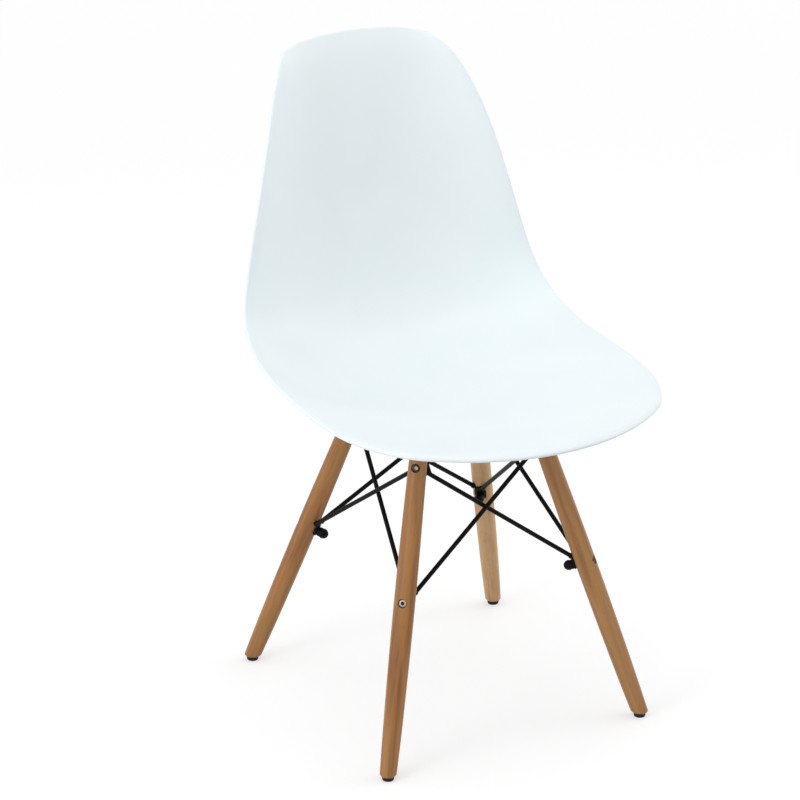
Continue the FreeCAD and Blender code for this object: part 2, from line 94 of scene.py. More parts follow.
class NodeMaker:
    """Adds nodes to a tree and joins them."""

    def __init__(self, tree: NodeTree) -> None:
        """Take the tree that the nodes go into."""
        self.tree = tree

    def feed(self, node: Node, inputs: dict) -> None:
        """Join sockets to a node's inputs, or set their values.

        Args:
            node: the node.
            inputs: sockets or values, by the input's name or number.
        """
        for key, value in inputs.items():
            if isinstance(value, Socket):
                self.tree.links.new(value, node.inputs[key])
            else:
                node.inputs[key].default_value = value

    def node(self, kind: str, inputs: Optional[dict] = None, **settings) -> Node:
        """Add a node.

        Args:
            kind: the node's Blender type.
            inputs: sockets or values, by the input's name or number.
            **settings: properties of the node.

        Returns:
            The new node.
        """
        made = self.tree.nodes.new(kind)
        for key, value in settings.items():
            setattr(made, key, value)
        self.feed(made, inputs or {})
        return made

    def out(self, kind: str, output: str | int, inputs: Optional[dict] = None, **settings) -> Socket:
        """Add a node, as node() does, and return one of its outputs."""
        return self.node(kind, inputs, **settings).outputs[output]


# Finishes


@dataclass(frozen=True)
class Pattern:
    """A noise on object coordinates, or on an attribute. A squeeze below 1 draws it out along Z."""

    scale: float
    detail: float = 3.0
    roughness: float = 0.5
    distortion: float = 0.0
    squeeze: float = 1.0
    attribute: str = ""


class MaterialMaker(NodeMaker):
    """Builds one procedural material round a Principled shader."""

    MIX_FIRST, MIX_SECOND, MIX_RESULT = 6, 7, 2

    def __init__(self, name: str) -> None:
        """Start a material of this name."""
        self.material = bpy.data.materials.new(name)
        self.material.use_nodes = True
        super().__init__(self.material.node_tree)
        self.shader = next(n for n in self.tree.nodes if n.type == "BSDF_PRINCIPLED")

    def noise(self, pattern: Pattern) -> Socket:
        """Return a pattern's value, from 0 to 1."""
        if pattern.attribute:
            where = self.out("ShaderNodeAttribute", "Vector", attribute_name=pattern.attribute)
        else:
            where = self.out("ShaderNodeTexCoord", "Object")
        where = self.out("ShaderNodeMapping", "Vector", {"Vector": where, "Scale": (1, 1, pattern.squeeze)})
        return self.out("ShaderNodeTexNoise", "Fac", {
            "Vector": where, "Scale": pattern.scale, "Detail": pattern.detail,
            "Roughness": pattern.roughness, "Distortion": pattern.distortion})

    def ramp(self, value: Socket, places: Sequence[float], colours: Sequence[Colour]) -> Socket:
        """Return a colour ramp over a value.

        Args:
            value: what the ramp reads.
            places: the stops, from 0 to 1.
            colours: the colour at each stop.

        Returns:
            A colour socket.
        """
        made = self.node("ShaderNodeValToRGB", {"Fac": value})
        elements = made.color_ramp.elements
        while len(elements) < len(places):
            elements.new(0.5)
        for element, place, colour in zip(elements, places, colours):
            element.position = place
            element.color = (*colour, 1.0)
        return made.outputs["Color"]

    def range(self, value: Socket, low: float, high: float, out_low: float, out_high: float) -> Socket:
        """Return a value mapped from between low and high to between out_low and out_high."""
        return self.out("ShaderNodeMapRange", "Result", {
            "Value": value, "From Min": low, "From Max": high, "To Min": out_low, "To Max": out_high})

    def mix(self, share: Socket, first: Socket, second: Colour) -> Socket:
        """Return the first colour with a share of the second mixed into it."""
        return self.out("ShaderNodeMix", self.MIX_RESULT, {
            "Factor": share, self.MIX_FIRST: first, self.MIX_SECOND: (*second, 1.0)}, data_type="RGBA")

    def bump(self, heights: Sequence[tuple[Socket, float, float]]) -> None:
        """Give the shader bumps, the later ones on top of the earlier.

        Args:
            heights: height patterns, each with its strength and its depth in metres.
        """
        below: dict = {}
        for height, strength, depth in heights:
            below = {"Normal": self.out("ShaderNodeBump", "Normal", {
                "Height": height, "Strength": strength, "Distance": depth, **below})}
        self.feed(self.shader, below)


@dataclass(frozen=True, kw_only=True)
class MottledFinish:
    """Soft patches of two near colours under a fine skin, which the other finishes build on."""

    name: str
    colours: tuple[Colour, Colour]
    stops: Pair = (0.35, 0.65)
    patches: Pattern
    rough: Pair
    skin: Pattern
    skin_strength: float
    skin_depth: float
    metallic: float = 0.0
    specular: float = 0.5
    refraction: float = 1.5

    def colour(self, maker: MaterialMaker, patches: Socket) -> Socket:
        """Return the base colour over the patches."""
        return maker.ramp(patches, self.stops, self.colours)

    def material(self) -> Material:
        """Return the finish as a material."""
        maker = MaterialMaker(self.name)
        patches = maker.noise(self.patches)
        maker.feed(maker.shader, {
            "Base Color": self.colour(maker, patches),
            "Roughness": maker.range(patches, *NOISE_BAND, *self.rough),
            "Metallic": self.metallic, "Specular IOR Level": self.specular, "IOR": self.refraction})
        maker.bump([(maker.noise(self.skin), self.skin_strength, self.skin_depth)])
        return maker.material


@dataclass(frozen=True, kw_only=True)
class MouldedPlastic(MottledFinish):
    """Satin moulded plastic: even colour, faint flow marks and a very fine grain."""

    name: str = "satin moulded plastic"
    colours: tuple[Colour, Colour] = ((0.80, 0.87, 0.89), (0.83, 0.89, 0.91))
    patches: Pattern = Pattern(7.0, 2.0, 0.4, 0.6)
    rough: Pair = (0.36, 0.44)
    skin: Pattern = Pattern(1500.0, 2.0, 0.6)
    skin_strength: float = 0.25
    skin_depth: float = 0.00003
    refraction: float = 1.47


@dataclass(frozen=True, kw_only=True)
class CoatedSteel(MottledFinish):
    """Black coated steel with a fine orange-peel skin."""

    name: str = "black coated steel"
    colours: tuple[Colour, Colour] = ((0.003, 0.003, 0.003), (0.008, 0.008, 0.007))
    stops: Pair = (0.40, 0.72)
    patches: Pattern = Pattern(60.0, 4.0, 0.6)
    rough: Pair = (0.36, 0.48)
    skin: Pattern = Pattern(1100.0, 2.0, 0.5)
    skin_strength: float = 0.30
    skin_depth: float = 0.00005
    specular: float = 0.08


@dataclass(frozen=True, kw_only=True)
class PlatedSteel(MottledFinish):
    """Zinc-plated steel, slightly mottled and scratched."""

    name: str = "zinc plated steel"
    colours: tuple[Colour, Colour] = ((0.42, 0.42, 0.41), (0.62, 0.62, 0.60))
    patches: Pattern = Pattern(420.0, 4.0, 0.6)
    rough: Pair = (0.24, 0.42)
    skin: Pattern = Pattern(2600.0, 2.0, 0.5, squeeze=0.1)
    skin_strength: float = 0.15
    skin_depth: float = 0.00003
    metallic: float = 1.0


@dataclass(frozen=True, kw_only=True)
class BoltSteel(MottledFinish):
    """Bolt heads whose sockets are painted another colour than their faces, by the attribute "socket":
    painted shade in the bright bolts, a painted highlight in the bolts whose faces are painted shade.
    """

    # The socket's colour: painted shade in a bright bolt, a painted highlight in a bolt whose face is
    # painted as shaded.
    socket: Colour
    patches: Pattern = Pattern(500.0, 3.0, 0.6)
    rough: Pair = (0.34, 0.50)
    skin: Pattern = Pattern(500.0, 3.0, 0.6)
    skin_strength: float = 0.10
    skin_depth: float = 0.00003
    metallic: float = 1.0

    def colour(self, maker: MaterialMaker, patches: Socket) -> Socket:
        """Return the face's colour, and inside it the socket's colour, which is painted shade in the bright
        bolts and a painted highlight in the shaded ones.
        """
        inside = maker.out("ShaderNodeAttribute", "Fac", attribute_name="socket")
        return maker.mix(inside, super().colour(maker, patches), self.socket)


@dataclass(frozen=True, kw_only=True)
class BlackPolymer(MottledFinish):
    """Black rubber or plastic, for the spacers and the glides."""

    colours: tuple[Colour, Colour] = ((0.007, 0.007, 0.007), (0.018, 0.017, 0.016))
    stops: Pair = (0.45, 0.80)
    patches: Pattern = Pattern(240.0, 5.0, 0.65)
    skin: Pattern = Pattern(1900.0, 2.0, 0.6)
    skin_strength: float = 0.35
    skin_depth: float = 0.00005
    specular: float = 0.25


@dataclass(frozen=True)
class LacqueredBeech:
    """Clear-lacquered beech whose grain runs along each leg, each leg in its own tone."""

    name: str = "lacquered beech"
    pale: Colour = (0.39, 0.195, 0.064)
    middle: Colour = (0.335, 0.152, 0.045)
    dark: Colour = (0.24, 0.098, 0.027)
    fair: Colour = (0.68, 0.44, 0.22)
    warm: Colour = (0.45, 0.185, 0.048)
    band_stops: Triple = (0.34, 0.50, 0.66)
    bands: Pattern = Pattern(85.0, 3.0, 0.5, 0.5, 0.06, "grain")
    streaks: Pattern = Pattern(130.0, 2.0, 0.5, 0.3, 0.10, "grain")
    streak_share: Span = (0.50, 0.68, 0.0, 0.55)
    fibres: Pattern = Pattern(900.0, 3.0, 0.6, 0.0, 0.02, "grain")
    fibre_share: Span = (0.40, 0.75, 0.0, 0.22)
    fibre_bump: Pair = (0.15, 0.00008)
    flecks: Pattern = Pattern(620.0, 1.0, 0.4, 0.0, 0.22, "grain")
    fleck_share: Span = (0.64, 0.74, 0.0, 0.30)
    fleck_bump: Pair = (0.10, 0.00005)
    rough: Pair = (0.40, 0.52)
    specular: float = 0.30
    coat: float = 0.10
    coat_rough: float = 0.25

    def material(self) -> Material:
        """Return the finish as a material."""
        maker = MaterialMaker(self.name)
        fibres, flecks = maker.noise(self.fibres), maker.noise(self.flecks)
        colour = maker.ramp(maker.noise(self.bands), self.band_stops, (self.dark, self.middle, self.pale))
        for share, tint in (
                (maker.out("ShaderNodeAttribute", "Fac", attribute_name="tone"), self.fair),
                (maker.range(maker.noise(self.streaks), *self.streak_share), self.warm),
                (maker.range(fibres, *self.fibre_share), self.dark),
                (maker.range(flecks, *self.fleck_share), self.dark)):
            colour = maker.mix(share, colour, tint)
        maker.feed(maker.shader, {
            "Base Color": colour, "Roughness": maker.range(fibres, *NOISE_BAND, *self.rough),
            "Specular IOR Level": self.specular, "Coat Weight": self.coat,
            "Coat Roughness": self.coat_rough})
        maker.bump([(fibres, *self.fibre_bump), (flecks, *self.fleck_bump)])
        return maker.material


class Finish(Enum):
    """The chair's finishes, each with the record's slot that it repaints."""

    SHELL = ("shell_plastic", MouldedPlastic())
    WOOD = ("beech_wood", LacqueredBeech())
    STEEL = ("black_steel", CoatedSteel())
    ZINC = ("zinc_steel", PlatedSteel())
    # The upper bolts: the same zinc steel, with their faces painted dark brown as the shade under the
    # seat's lip and their sockets painted pale as a highlight.
    DULL_BOLT = ("zinc_steel", BoltSteel(
        name="dulled bolt steel", colours=((0.06375, 0.045, 0.0315), (0.085, 0.060, 0.042)),
        socket=(0.50, 0.48, 0.46)))
    # The lower bolts: plated faces, with their sockets painted near black as the shade in the recess.
    BRIGHT_BOLT = ("zinc_steel", BoltSteel(
        name="bright bolt steel", colours=((0.33, 0.315, 0.27), (0.44, 0.42, 0.36)),
        socket=(0.03, 0.03, 0.02)))
    RUBBER = ("black_rubber", BlackPolymer(name="black rubber", rough=(0.67, 0.83)))
    GLIDE = ("black_plastic", BlackPolymer(name="black glide plastic", rough=(0.52, 0.68)))

    @property
    def slot(self) -> str:
        """The record's slot name."""
        return self.value[0]

    def material(self) -> Material:
        """Return this finish's material, made once."""
        finish = self.value[1]
        return bpy.data.materials.get(finish.name) or finish.material()


# Meshes


def quarter_turns(steps: int, first: int = 0) -> list[float]:
    """Return evenly spaced angles, from a step's number up to a quarter turn."""
    return [math.pi / 2 * k / steps for k in range(first, steps + 1)]


def grid_faces(rows: int, columns: int, base: int = 0) -> list[tuple[int, ...]]:
    """Return the faces of a grid of points that are numbered row by row from a base."""
    starts = [base + i * columns + j for i in range(rows - 1) for j in range(columns - 1)]
    return [(a, a + columns, a + columns + 1, a + 1) for a in starts]


def ring_faces(rings: Sequence[Sequence[int]]) -> list[tuple[int, ...]]:
    """Return the faces between closed rings of points, which are given by their numbers."""
    count = len(rings[0])
    return [(here[k], here[(k + 1) % count], beyond[(k + 1) % count], beyond[k])
            for here, beyond in zip(rings, rings[1:]) for k in range(count)]


def add_object(name: str, data: ID) -> Object:
    """Return a new object, in the scene and at the origin.

    Args:
        name: the object's name.
        data: its mesh, camera or lamp.

    Returns:
        The object.
    """
    made = bpy.data.objects.new(name, data)
    bpy.context.scene.collection.objects.link(made)
    return made


def wire(name: str, points: Sequence[Sequence[float]], edges: Sequence[tuple[int, int]]) -> Mesh:
    """Return a mesh without faces.

    Args:
        name: its name.
        points: its points.
        edges: its edges, as pairs of point numbers.

    Returns:
        The mesh.
    """
    mesh = bpy.data.meshes.new(name)
    mesh.from_pydata([tuple(p) for p in points], edges, [])
    return mesh


def mesh_from(name: str, vertices: Sequence, faces: Sequence) -> Mesh:
    """Return a mesh with doubled points merged and its normals outwards.

    Args:
        name: its name.
        vertices: its points.
        faces: its faces, as tuples of point numbers.

    Returns:
        The mesh.
    """
    mesh = bpy.data.meshes.new(name)
    mesh.from_pydata([tuple(v) for v in vertices], [], [tuple(f) for f in faces])
    work = bmesh.new()
    work.from_mesh(mesh)
    bmesh.ops.remove_doubles(work, verts=work.verts, dist=SAME_PLACE)
    bmesh.ops.recalc_face_normals(work, faces=work.faces)
    work.to_mesh(mesh)
    work.free()
    return mesh


def joined(name: str, meshes: Sequence[Mesh]) -> Mesh:
    """Return several meshes as one.

    Args:
        name: the new mesh's name.
        meshes: the meshes.

    Returns:
        The new mesh.
    """
    work = bmesh.new()
    for mesh in meshes:
        work.from_mesh(mesh)
    made = bpy.data.meshes.new(name)
    work.to_mesh(made)
    work.free()
    return made


def lathe(name: str, profile: Sequence[Pair], sides: int) -> Mesh:
    """Return a closed turned mesh about Z.

    Args:
        name: its name.
        profile: (radius, height) pairs from the bottom of the axis to the top.
        sides: how many sides the turning has.

    Returns:
        The mesh.
    """
    turns = [2 * math.pi * k / sides for k in range(sides)]
    vertices = [(radius * math.cos(turn), radius * math.sin(turn), height)
                for radius, height in profile for turn in turns]
    rings = [range(row * sides, (row + 1) * sides) for row in range(len(profile))]
    return mesh_from(name, vertices, ring_faces(rings) + [rings[0], rings[-1]])


def bake(thing: Object, kind: str, settings: dict, inputs: Optional[dict] = None) -> None:
    """Change an object's mesh by a modifier, and leave no modifier on it.

    Args:
        thing: the object.
        kind: the modifier's type.
        settings: its properties.
        inputs: a Geometry Nodes modifier's inputs, by identifier.
    """
    modifier = thing.modifiers.new(kind.lower(), kind)
    for key, value in settings.items():
        setattr(modifier, key, value)
    for key, value in (inputs or {}).items():
        modifier[key] = value
    graph = bpy.context.evaluated_depsgraph_get()
    graph.update()
    baked = bpy.data.meshes.new_from_object(thing.evaluated_get(graph), depsgraph=graph)
    thing.modifiers.clear()
    old = thing.data
    thing.data = baked
    bpy.data.meshes.remove(old)


def cut_away(thing: Object, cutter: Object) -> None:
    """Cut one object out of another, and remove the one that cuts."""
    bake(thing, "BOOLEAN", {"operation": "DIFFERENCE", "solver": "EXACT", "object": cutter})
    bpy.data.objects.remove(cutter)


def shade(mesh: Mesh, angle: float = 35.0) -> None:
    """Shade a mesh smooth, with creases sharper than an angle kept sharp.

    Args:
        mesh: the mesh.
        angle: the angle in degrees.
    """
    work = bmesh.new()
    work.from_mesh(mesh)
    limit = math.radians(angle)
    for face in work.faces:
        face.smooth = True
    for edge in work.edges:
        edge.smooth = len(edge.link_faces) == 2 and edge.calc_face_angle(0.0) < limit
    work.to_mesh(mesh)
    work.free()


def finish_piece(piece: Object, finish: Finish, nodes: Sequence[str]) -> None:
    """Dress a finished piece and tie it to the frame.

    Args:
        piece: the piece.
        finish: its finish.
        nodes: the CAD nodes that it stands for.
    """
    piece.data.materials.clear()
    piece.data.materials.append(finish.material())
    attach(piece, BODY)
    if nodes:
        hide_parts(*nodes)
    LOG.info("%s: %d faces for %d nodes", piece.name, len(piece.data.polygons), len(nodes))


# Geometry Nodes


class TreeMaker(NodeMaker):
    """Builds one Geometry Nodes tree with named inputs."""

    KINDS = {float: "NodeSocketFloat", int: "NodeSocketInt", Object: "NodeSocketObject"}

    def __init__(self, name: str, inputs: dict[str, type]) -> None:
        """Start a tree with a geometry input, a material input, more inputs and a geometry output.

        Args:
            name: the tree's name.
            inputs: the other inputs' kinds, by name.
        """
        super().__init__(bpy.data.node_groups.new(name, "GeometryNodeTree"))
        sockets = [("Geometry", "INPUT", "NodeSocketGeometry"), ("Material", "INPUT", "NodeSocketMaterial"),
                   *((key, "INPUT", self.KINDS[kind]) for key, kind in inputs.items()),
                   ("Geometry", "OUTPUT", "NodeSocketGeometry")]
        for key, way, kind in sockets:
            self.tree.interface.new_socket(name=key, in_out=way, socket_type=kind)
        self.start = self.node("NodeGroupInput")

    def given(self, name: str) -> Socket:
        """Return one of the tree's own inputs."""
        return self.start.outputs[name]

    def math(self, operation: str, first: Socket | float, second: Socket | float = 0.0) -> Socket:
        """Return the result of one of Blender's sums on two sockets or values."""
        return self.out("ShaderNodeMath", 0, {0: first, 1: second}, operation=operation)

    def sweep(self, curve: Socket, radius: Socket | float, sides: Socket, **more) -> Socket:
        """Return a curve's mesh: a ring drawn along it, with closed ends and any more inputs."""
        ring = self.out("GeometryNodeCurvePrimitiveCircle", "Curve", {
            "Resolution": sides, "Radius": radius}, mode="RADIUS")
        return self.out("GeometryNodeCurveToMesh", "Mesh", {
            "Curve": curve, "Profile Curve": ring, "Fill Caps": True, **more})

    def finish(self, geometry: Socket) -> NodeTree:
        """End the tree with realized instances and the material input.

        Args:
            geometry: what the tree has made.

        Returns:
            The tree.
        """
        real = self.out("GeometryNodeRealizeInstances", "Geometry", {"Geometry": geometry})
        dressed = self.out("GeometryNodeSetMaterial", "Geometry", {
            "Geometry": real, "Material": self.given("Material")})
        self.node("NodeGroupOutput", {"Geometry": dressed})
        return self.tree


def grow(tree: NodeTree, name: str, start: Mesh, values: dict) -> Object:
    """Run a Geometry Nodes tree and keep its result as a plain mesh.

    Args:
        tree: the tree.
        name: the new object's name.
        start: the mesh that goes into the tree.
        values: the tree's inputs, by name.

    Returns:
        An object with no modifier on it.
    """
    piece = add_object(name, start)
    bake(piece, "NODES", {"node_group": tree}, {
        item.identifier: values[item.name] for item in tree.interface.items_tree
        if item.item_type == "SOCKET" and item.in_out == "INPUT" and item.name in values})
    return piece


def bar_tree() -> NodeTree:
    """Return a tree that turns each edge of a mesh into a round bar with closed ends."""
    maker = TreeMaker("round bars", {"Radius": float, "Sides": int})
    path = maker.out("GeometryNodeMeshToCurve", "Curve", {"Mesh": maker.given("Geometry")})
    return maker.finish(maker.sweep(path, maker.given("Radius"), maker.given("Sides")))


def one_at_each_point_tree() -> NodeTree:
    """Return a tree that puts one part on each point, turned by two stored directions."""
    maker = TreeMaker("one at each point", {"Part": Object})
    part = maker.out("GeometryNodeObjectInfo", "Geometry", {
        "Object": maker.given("Part"), "As Instance": True}, transform_space="ORIGINAL")
    turn: dict = {}
    for name, axis, pivot in (("axis", "Z", "AUTO"), ("side", "X", "Z")):
        stored = maker.out("GeometryNodeInputNamedAttribute", "Attribute", {"Name": name},
                           data_type="FLOAT_VECTOR")
        turn = {"Rotation": maker.out("FunctionNodeAlignRotationToVector", "Rotation", {
            "Vector": stored, **turn}, axis=axis, pivot_axis=pivot)}
    return maker.finish(maker.out("GeometryNodeInstanceOnPoints", "Instances", {
        "Points": maker.given("Geometry"), "Instance": part, **turn}))


def turned_leg_tree() -> NodeTree:
    """Return a tree that turns a leg round a row of points: a long cigar with rounded ends."""
    sizes = ("Length", "Foot radius", "Belly radius", "Belly at", "Top radius", "Foot round", "Top round",
             "Foot power", "Top power")
    maker = TreeMaker("turned leg", {**dict.fromkeys(sizes, float), "Sides": int})
    length, belly, radius = (maker.given(key) for key in ("Length", "Belly at", "Belly radius"))
    height = maker.out("ShaderNodeSeparateXYZ", "Z", {
        "Vector": maker.out("GeometryNodeInputPosition", "Position")})

    def less(first: Socket | float, second: Socket) -> Socket:
        """Return the first minus the second."""
        return maker.math("SUBTRACT", first, second)

    def positive(value: Socket) -> Socket:
        """Return a value, or 0 where it is below 0."""
        return maker.math("MAXIMUM", value, 0.0)

    def taper(share: Socket, end: str) -> Socket:
        """Return how much slimmer the leg is than its belly, at a share of the way to an end."""
        loss = less(maker.given("Belly radius"), maker.given(end + " radius"))
        curve = maker.math("POWER", positive(share), maker.given(end + " power"))
        return maker.math("MULTIPLY", curve, loss)

    def rounding(distance: Socket, size: Socket) -> Socket:
        """Return how much a rounded end takes off, at a distance from the end."""
        deep = positive(less(size, distance))
        chord = less(maker.math("MULTIPLY", size, size), maker.math("MULTIPLY", deep, deep))
        return less(size, maker.math("SQRT", positive(chord)))

    low = less(1.0, maker.math("DIVIDE", height, belly))
    high = maker.math("DIVIDE", less(height, belly), less(length, belly))
    for loss in (taper(low, "Foot"), taper(high, "Top"), rounding(height, maker.given("Foot round")),
                 rounding(less(length, height), maker.given("Top round"))):
        radius = less(radius, loss)
    path = maker.out("GeometryNodeMeshToCurve", "Curve", {"Mesh": maker.given("Geometry")})
    shaped = maker.out("GeometryNodeSetCurveRadius", "Curve", {"Curve": path, "Radius": radius})
    return maker.finish(maker.sweep(shaped, 1.0, maker.given("Sides"),
                                    Scale=maker.out("GeometryNodeInputRadius", "Radius")))


# Seat shell


def spline_basis(count: int, at: np.ndarray) -> np.ndarray:
    """Return the cubic blending weights of a clamped, evenly spaced spline.

    Args:
        count: how many control points the spline has.
        at: places along it, from 0 to 1.

    Returns:
        One row of weights for each place.
    """
    knots = np.concatenate([np.zeros(3), np.linspace(0, 1, count - 2), np.ones(3)])
    t = np.clip(at, 0, 1 - 1e-12)[:, None]
    basis = ((knots[:-1] <= t) & (t < knots[1:])).astype(float)
    for degree in (1, 2, 3):
        width = knots[degree:] - knots[:-degree]
        width = np.where(width > 0, width, 1.0)
        rise = (t - knots[:-degree][None, :]) / width
        fall = (knots[degree:][None, :] - t) / width
        basis = rise[:, :-1] * basis[:, :-1] + fall[:, 1:] * basis[:, 1:]
    return basis


def spline_points(net: np.ndarray, places: np.ndarray) -> np.ndarray:
    """Return points of a bicubic surface.

    Args:
        net: its control points.
        places: (across, along) pairs, from 0 to 1.

    Returns:
        One point for each pair.
    """
    across = spline_basis(net.shape[0], places[:, 0])
    along = spline_basis(net.shape[1], places[:, 1])
    return np.einsum("pi,pik->pk", across, np.einsum("pj,ijk->pik", along, net))


def distance_to_loop(points: np.ndarray, loop: np.ndarray) -> np.ndarray:
    """Return how far points lie from a closed polyline.

    Args:
        points: the points.
        loop: the polyline's corners.

    Returns:
        One distance for each point.
    """
    best = np.full(len(points), np.inf)
    for start, end in zip(loop, np.roll(loop, -1, axis=0)):
        step = end - start
        share = np.clip((points - start) @ step / (step @ step), 0, 1)
        gap = points - start - share[:, None] * step
        best = np.minimum(best, (gap ** 2).sum(axis=1))
    return np.sqrt(best)


@dataclass(frozen=True)
class ShellForm:
    """The shell's rule, as in the CAD source: a dished strip from front lip to top edge."""

    middle_line: tuple[Pair, ...] = (
        (-0.283, 0.449), (-0.269, 0.452), (-0.208, 0.442), (-0.123, 0.431), (-0.023, 0.417),
        (0.082, 0.408), (0.174, 0.416), (0.212, 0.463), (0.221, 0.535), (0.231, 0.612),
        (0.243, 0.690), (0.258, 0.764), (0.273, 0.823))
    side_edge: tuple[Triple, ...] = (
        (0.171, -0.220, 0.449), (0.191, -0.202, 0.450), (0.213, -0.163, 0.452),
        (0.227, -0.108, 0.454), (0.228, -0.032, 0.457), (0.223, 0.050, 0.460),
        (0.220, 0.112, 0.476), (0.213, 0.147, 0.502), (0.201, 0.160, 0.544),
        (0.182, 0.170, 0.622), (0.158, 0.184, 0.706), (0.135, 0.209, 0.786),
        (0.103, 0.252, 0.811))
    wall: float = 0.005
    front_arc_angle: float = 45.0
    top_arc_angle: float = 80.0
    dish_power: float = 2.6
    lip_drop: float = 0.0035
    lip_share_across: float = 0.075
    lip_share_along: float = 0.02
    corner_blend: float = 0.22
    stations_across: int = 9
    stations_along: int = 25
    normal_step: float = 0.002
    normal_reach: float = 0.99
    normal_end: float = 0.006

    def middle(self, along: np.ndarray) -> np.ndarray:
        """Return the middle line's points at places along the shell."""
        return spline_basis(len(self.middle_line), along) @ [(0.0, y, z) for y, z in self.middle_line]

    def edge(self, along: np.ndarray) -> np.ndarray:
        """Return the right-hand edge's points at places along the shell."""
        return spline_basis(len(self.side_edge), along) @ self.side_edge

    def end_term(self, across: np.ndarray, end: float) -> np.ndarray:
        """Return what an end's arc adds to the plain dish.

        Args:
            across: places across the shell, from -1 to 1.
            end: 0 for the front edge, 1 for the top edge.

        Returns:
            One vector for each place.
        """
        angle = math.radians(self.top_arc_angle if end else self.front_arc_angle)
        place = np.array([end])
        step = (self.edge(place) - self.middle(place))[0]
        sweep = np.sin(across * angle) / math.sin(angle)
        rise = (1 - np.cos(across * angle)) / (1 - math.cos(angle))
        extra = step[None, :] * (rise - np.abs(across) ** self.dish_power)[:, None]
        extra[:, 0] = step[0] * (sweep - across)
        return extra

    def plain(self, across: np.ndarray, along: np.ndarray) -> np.ndarray:
        """Return points of the sitter's face before its rim is rolled.

        Args:
            across: places across the shell.
            along: places along it, as many.

        Returns:
            The points.
        """
        middle = self.middle(along)
        step = self.edge(along) - middle
        points = middle + step * (np.abs(across) ** self.dish_power)[:, None]
        points[:, 0] = step[:, 0] * across
        for end, distance in ((0.0, along), (1.0, 1 - along)):
            near = np.maximum(0.0, 1 - distance / self.corner_blend) ** 3
            points += self.end_term(across, end) * near[:, None]
        return points

    def normal(self, across: np.ndarray, along: np.ndarray) -> np.ndarray:
        """Return the directions away from the wall, towards the sitter."""
        step = self.normal_step
        a = np.clip(across, -self.normal_reach, self.normal_reach)
        s = np.clip(along, self.normal_end, 1 - self.normal_end)
        over = self.plain(a + step, s) - self.plain(a - step, s)
        forth = self.plain(a, s + step) - self.plain(a, s - step)
        result = np.cross(over, forth)
        return result / np.linalg.norm(result, axis=1)[:, None]

    def points(self, across: np.ndarray, along: np.ndarray, depth: float) -> np.ndarray:
        """Return points on the sitter's face, or at a depth into the wall.

        Args:
            across: places across the shell.
            along: places along it, as many.
            depth: how deep into the wall.

        Returns:
            The points.
        """
        side = np.maximum(0.0, 1 - (1 - np.abs(across)) / self.lip_share_across) ** 2
        end = np.maximum(0.0, 1 - np.minimum(along, 1 - along) / self.lip_share_along) ** 2
        shift = self.lip_drop * (side + end - side * end) + depth
        return self.plain(across, along) - self.normal(across, along) * shift[:, None]

    def stations(self) -> tuple[np.ndarray, np.ndarray]:
        """Return the control net's stations, across and along."""
        inner = self.stations_across - 4
        half = [(1 - 2 * self.lip_share_across) * i / inner for i in range(inner + 1)]
        half += [1 - self.lip_share_across, 1 - self.lip_share_across / 2, 1.0]
        across = [-a for a in reversed(half[1:])] + half
        lip = [0.0, self.lip_share_along / 2, self.lip_share_along, 2 * self.lip_share_along]
        gaps = self.stations_along - 2 * len(lip) + 1
        between = [lip[-1] + (1 - 2 * lip[-1]) * (i + 1) / gaps for i in range(gaps - 1)]
        along = lip + between + [1 - s for s in reversed(lip)]
        return np.array(across), np.array(along)

    def net(self) -> np.ndarray:
        """Return the control net of the middle of the wall, across by along."""
        a, s = np.meshgrid(*self.stations(), indexing="ij")
        net = self.points(a.ravel(), s.ravel(), self.wall / 2).reshape(*a.shape, 3)
        for i, beside in ((0, 1), (-1, -2)):
            for j, along_side in ((0, 1), (-1, -2)):
                start, end = net[beside, j], net[i, along_side]
                near = np.linalg.norm(net[i, j] - start)
                share = near / (near + np.linalg.norm(net[i, j] - end))
                net[i, j] = start + (end - start) * share
        return net


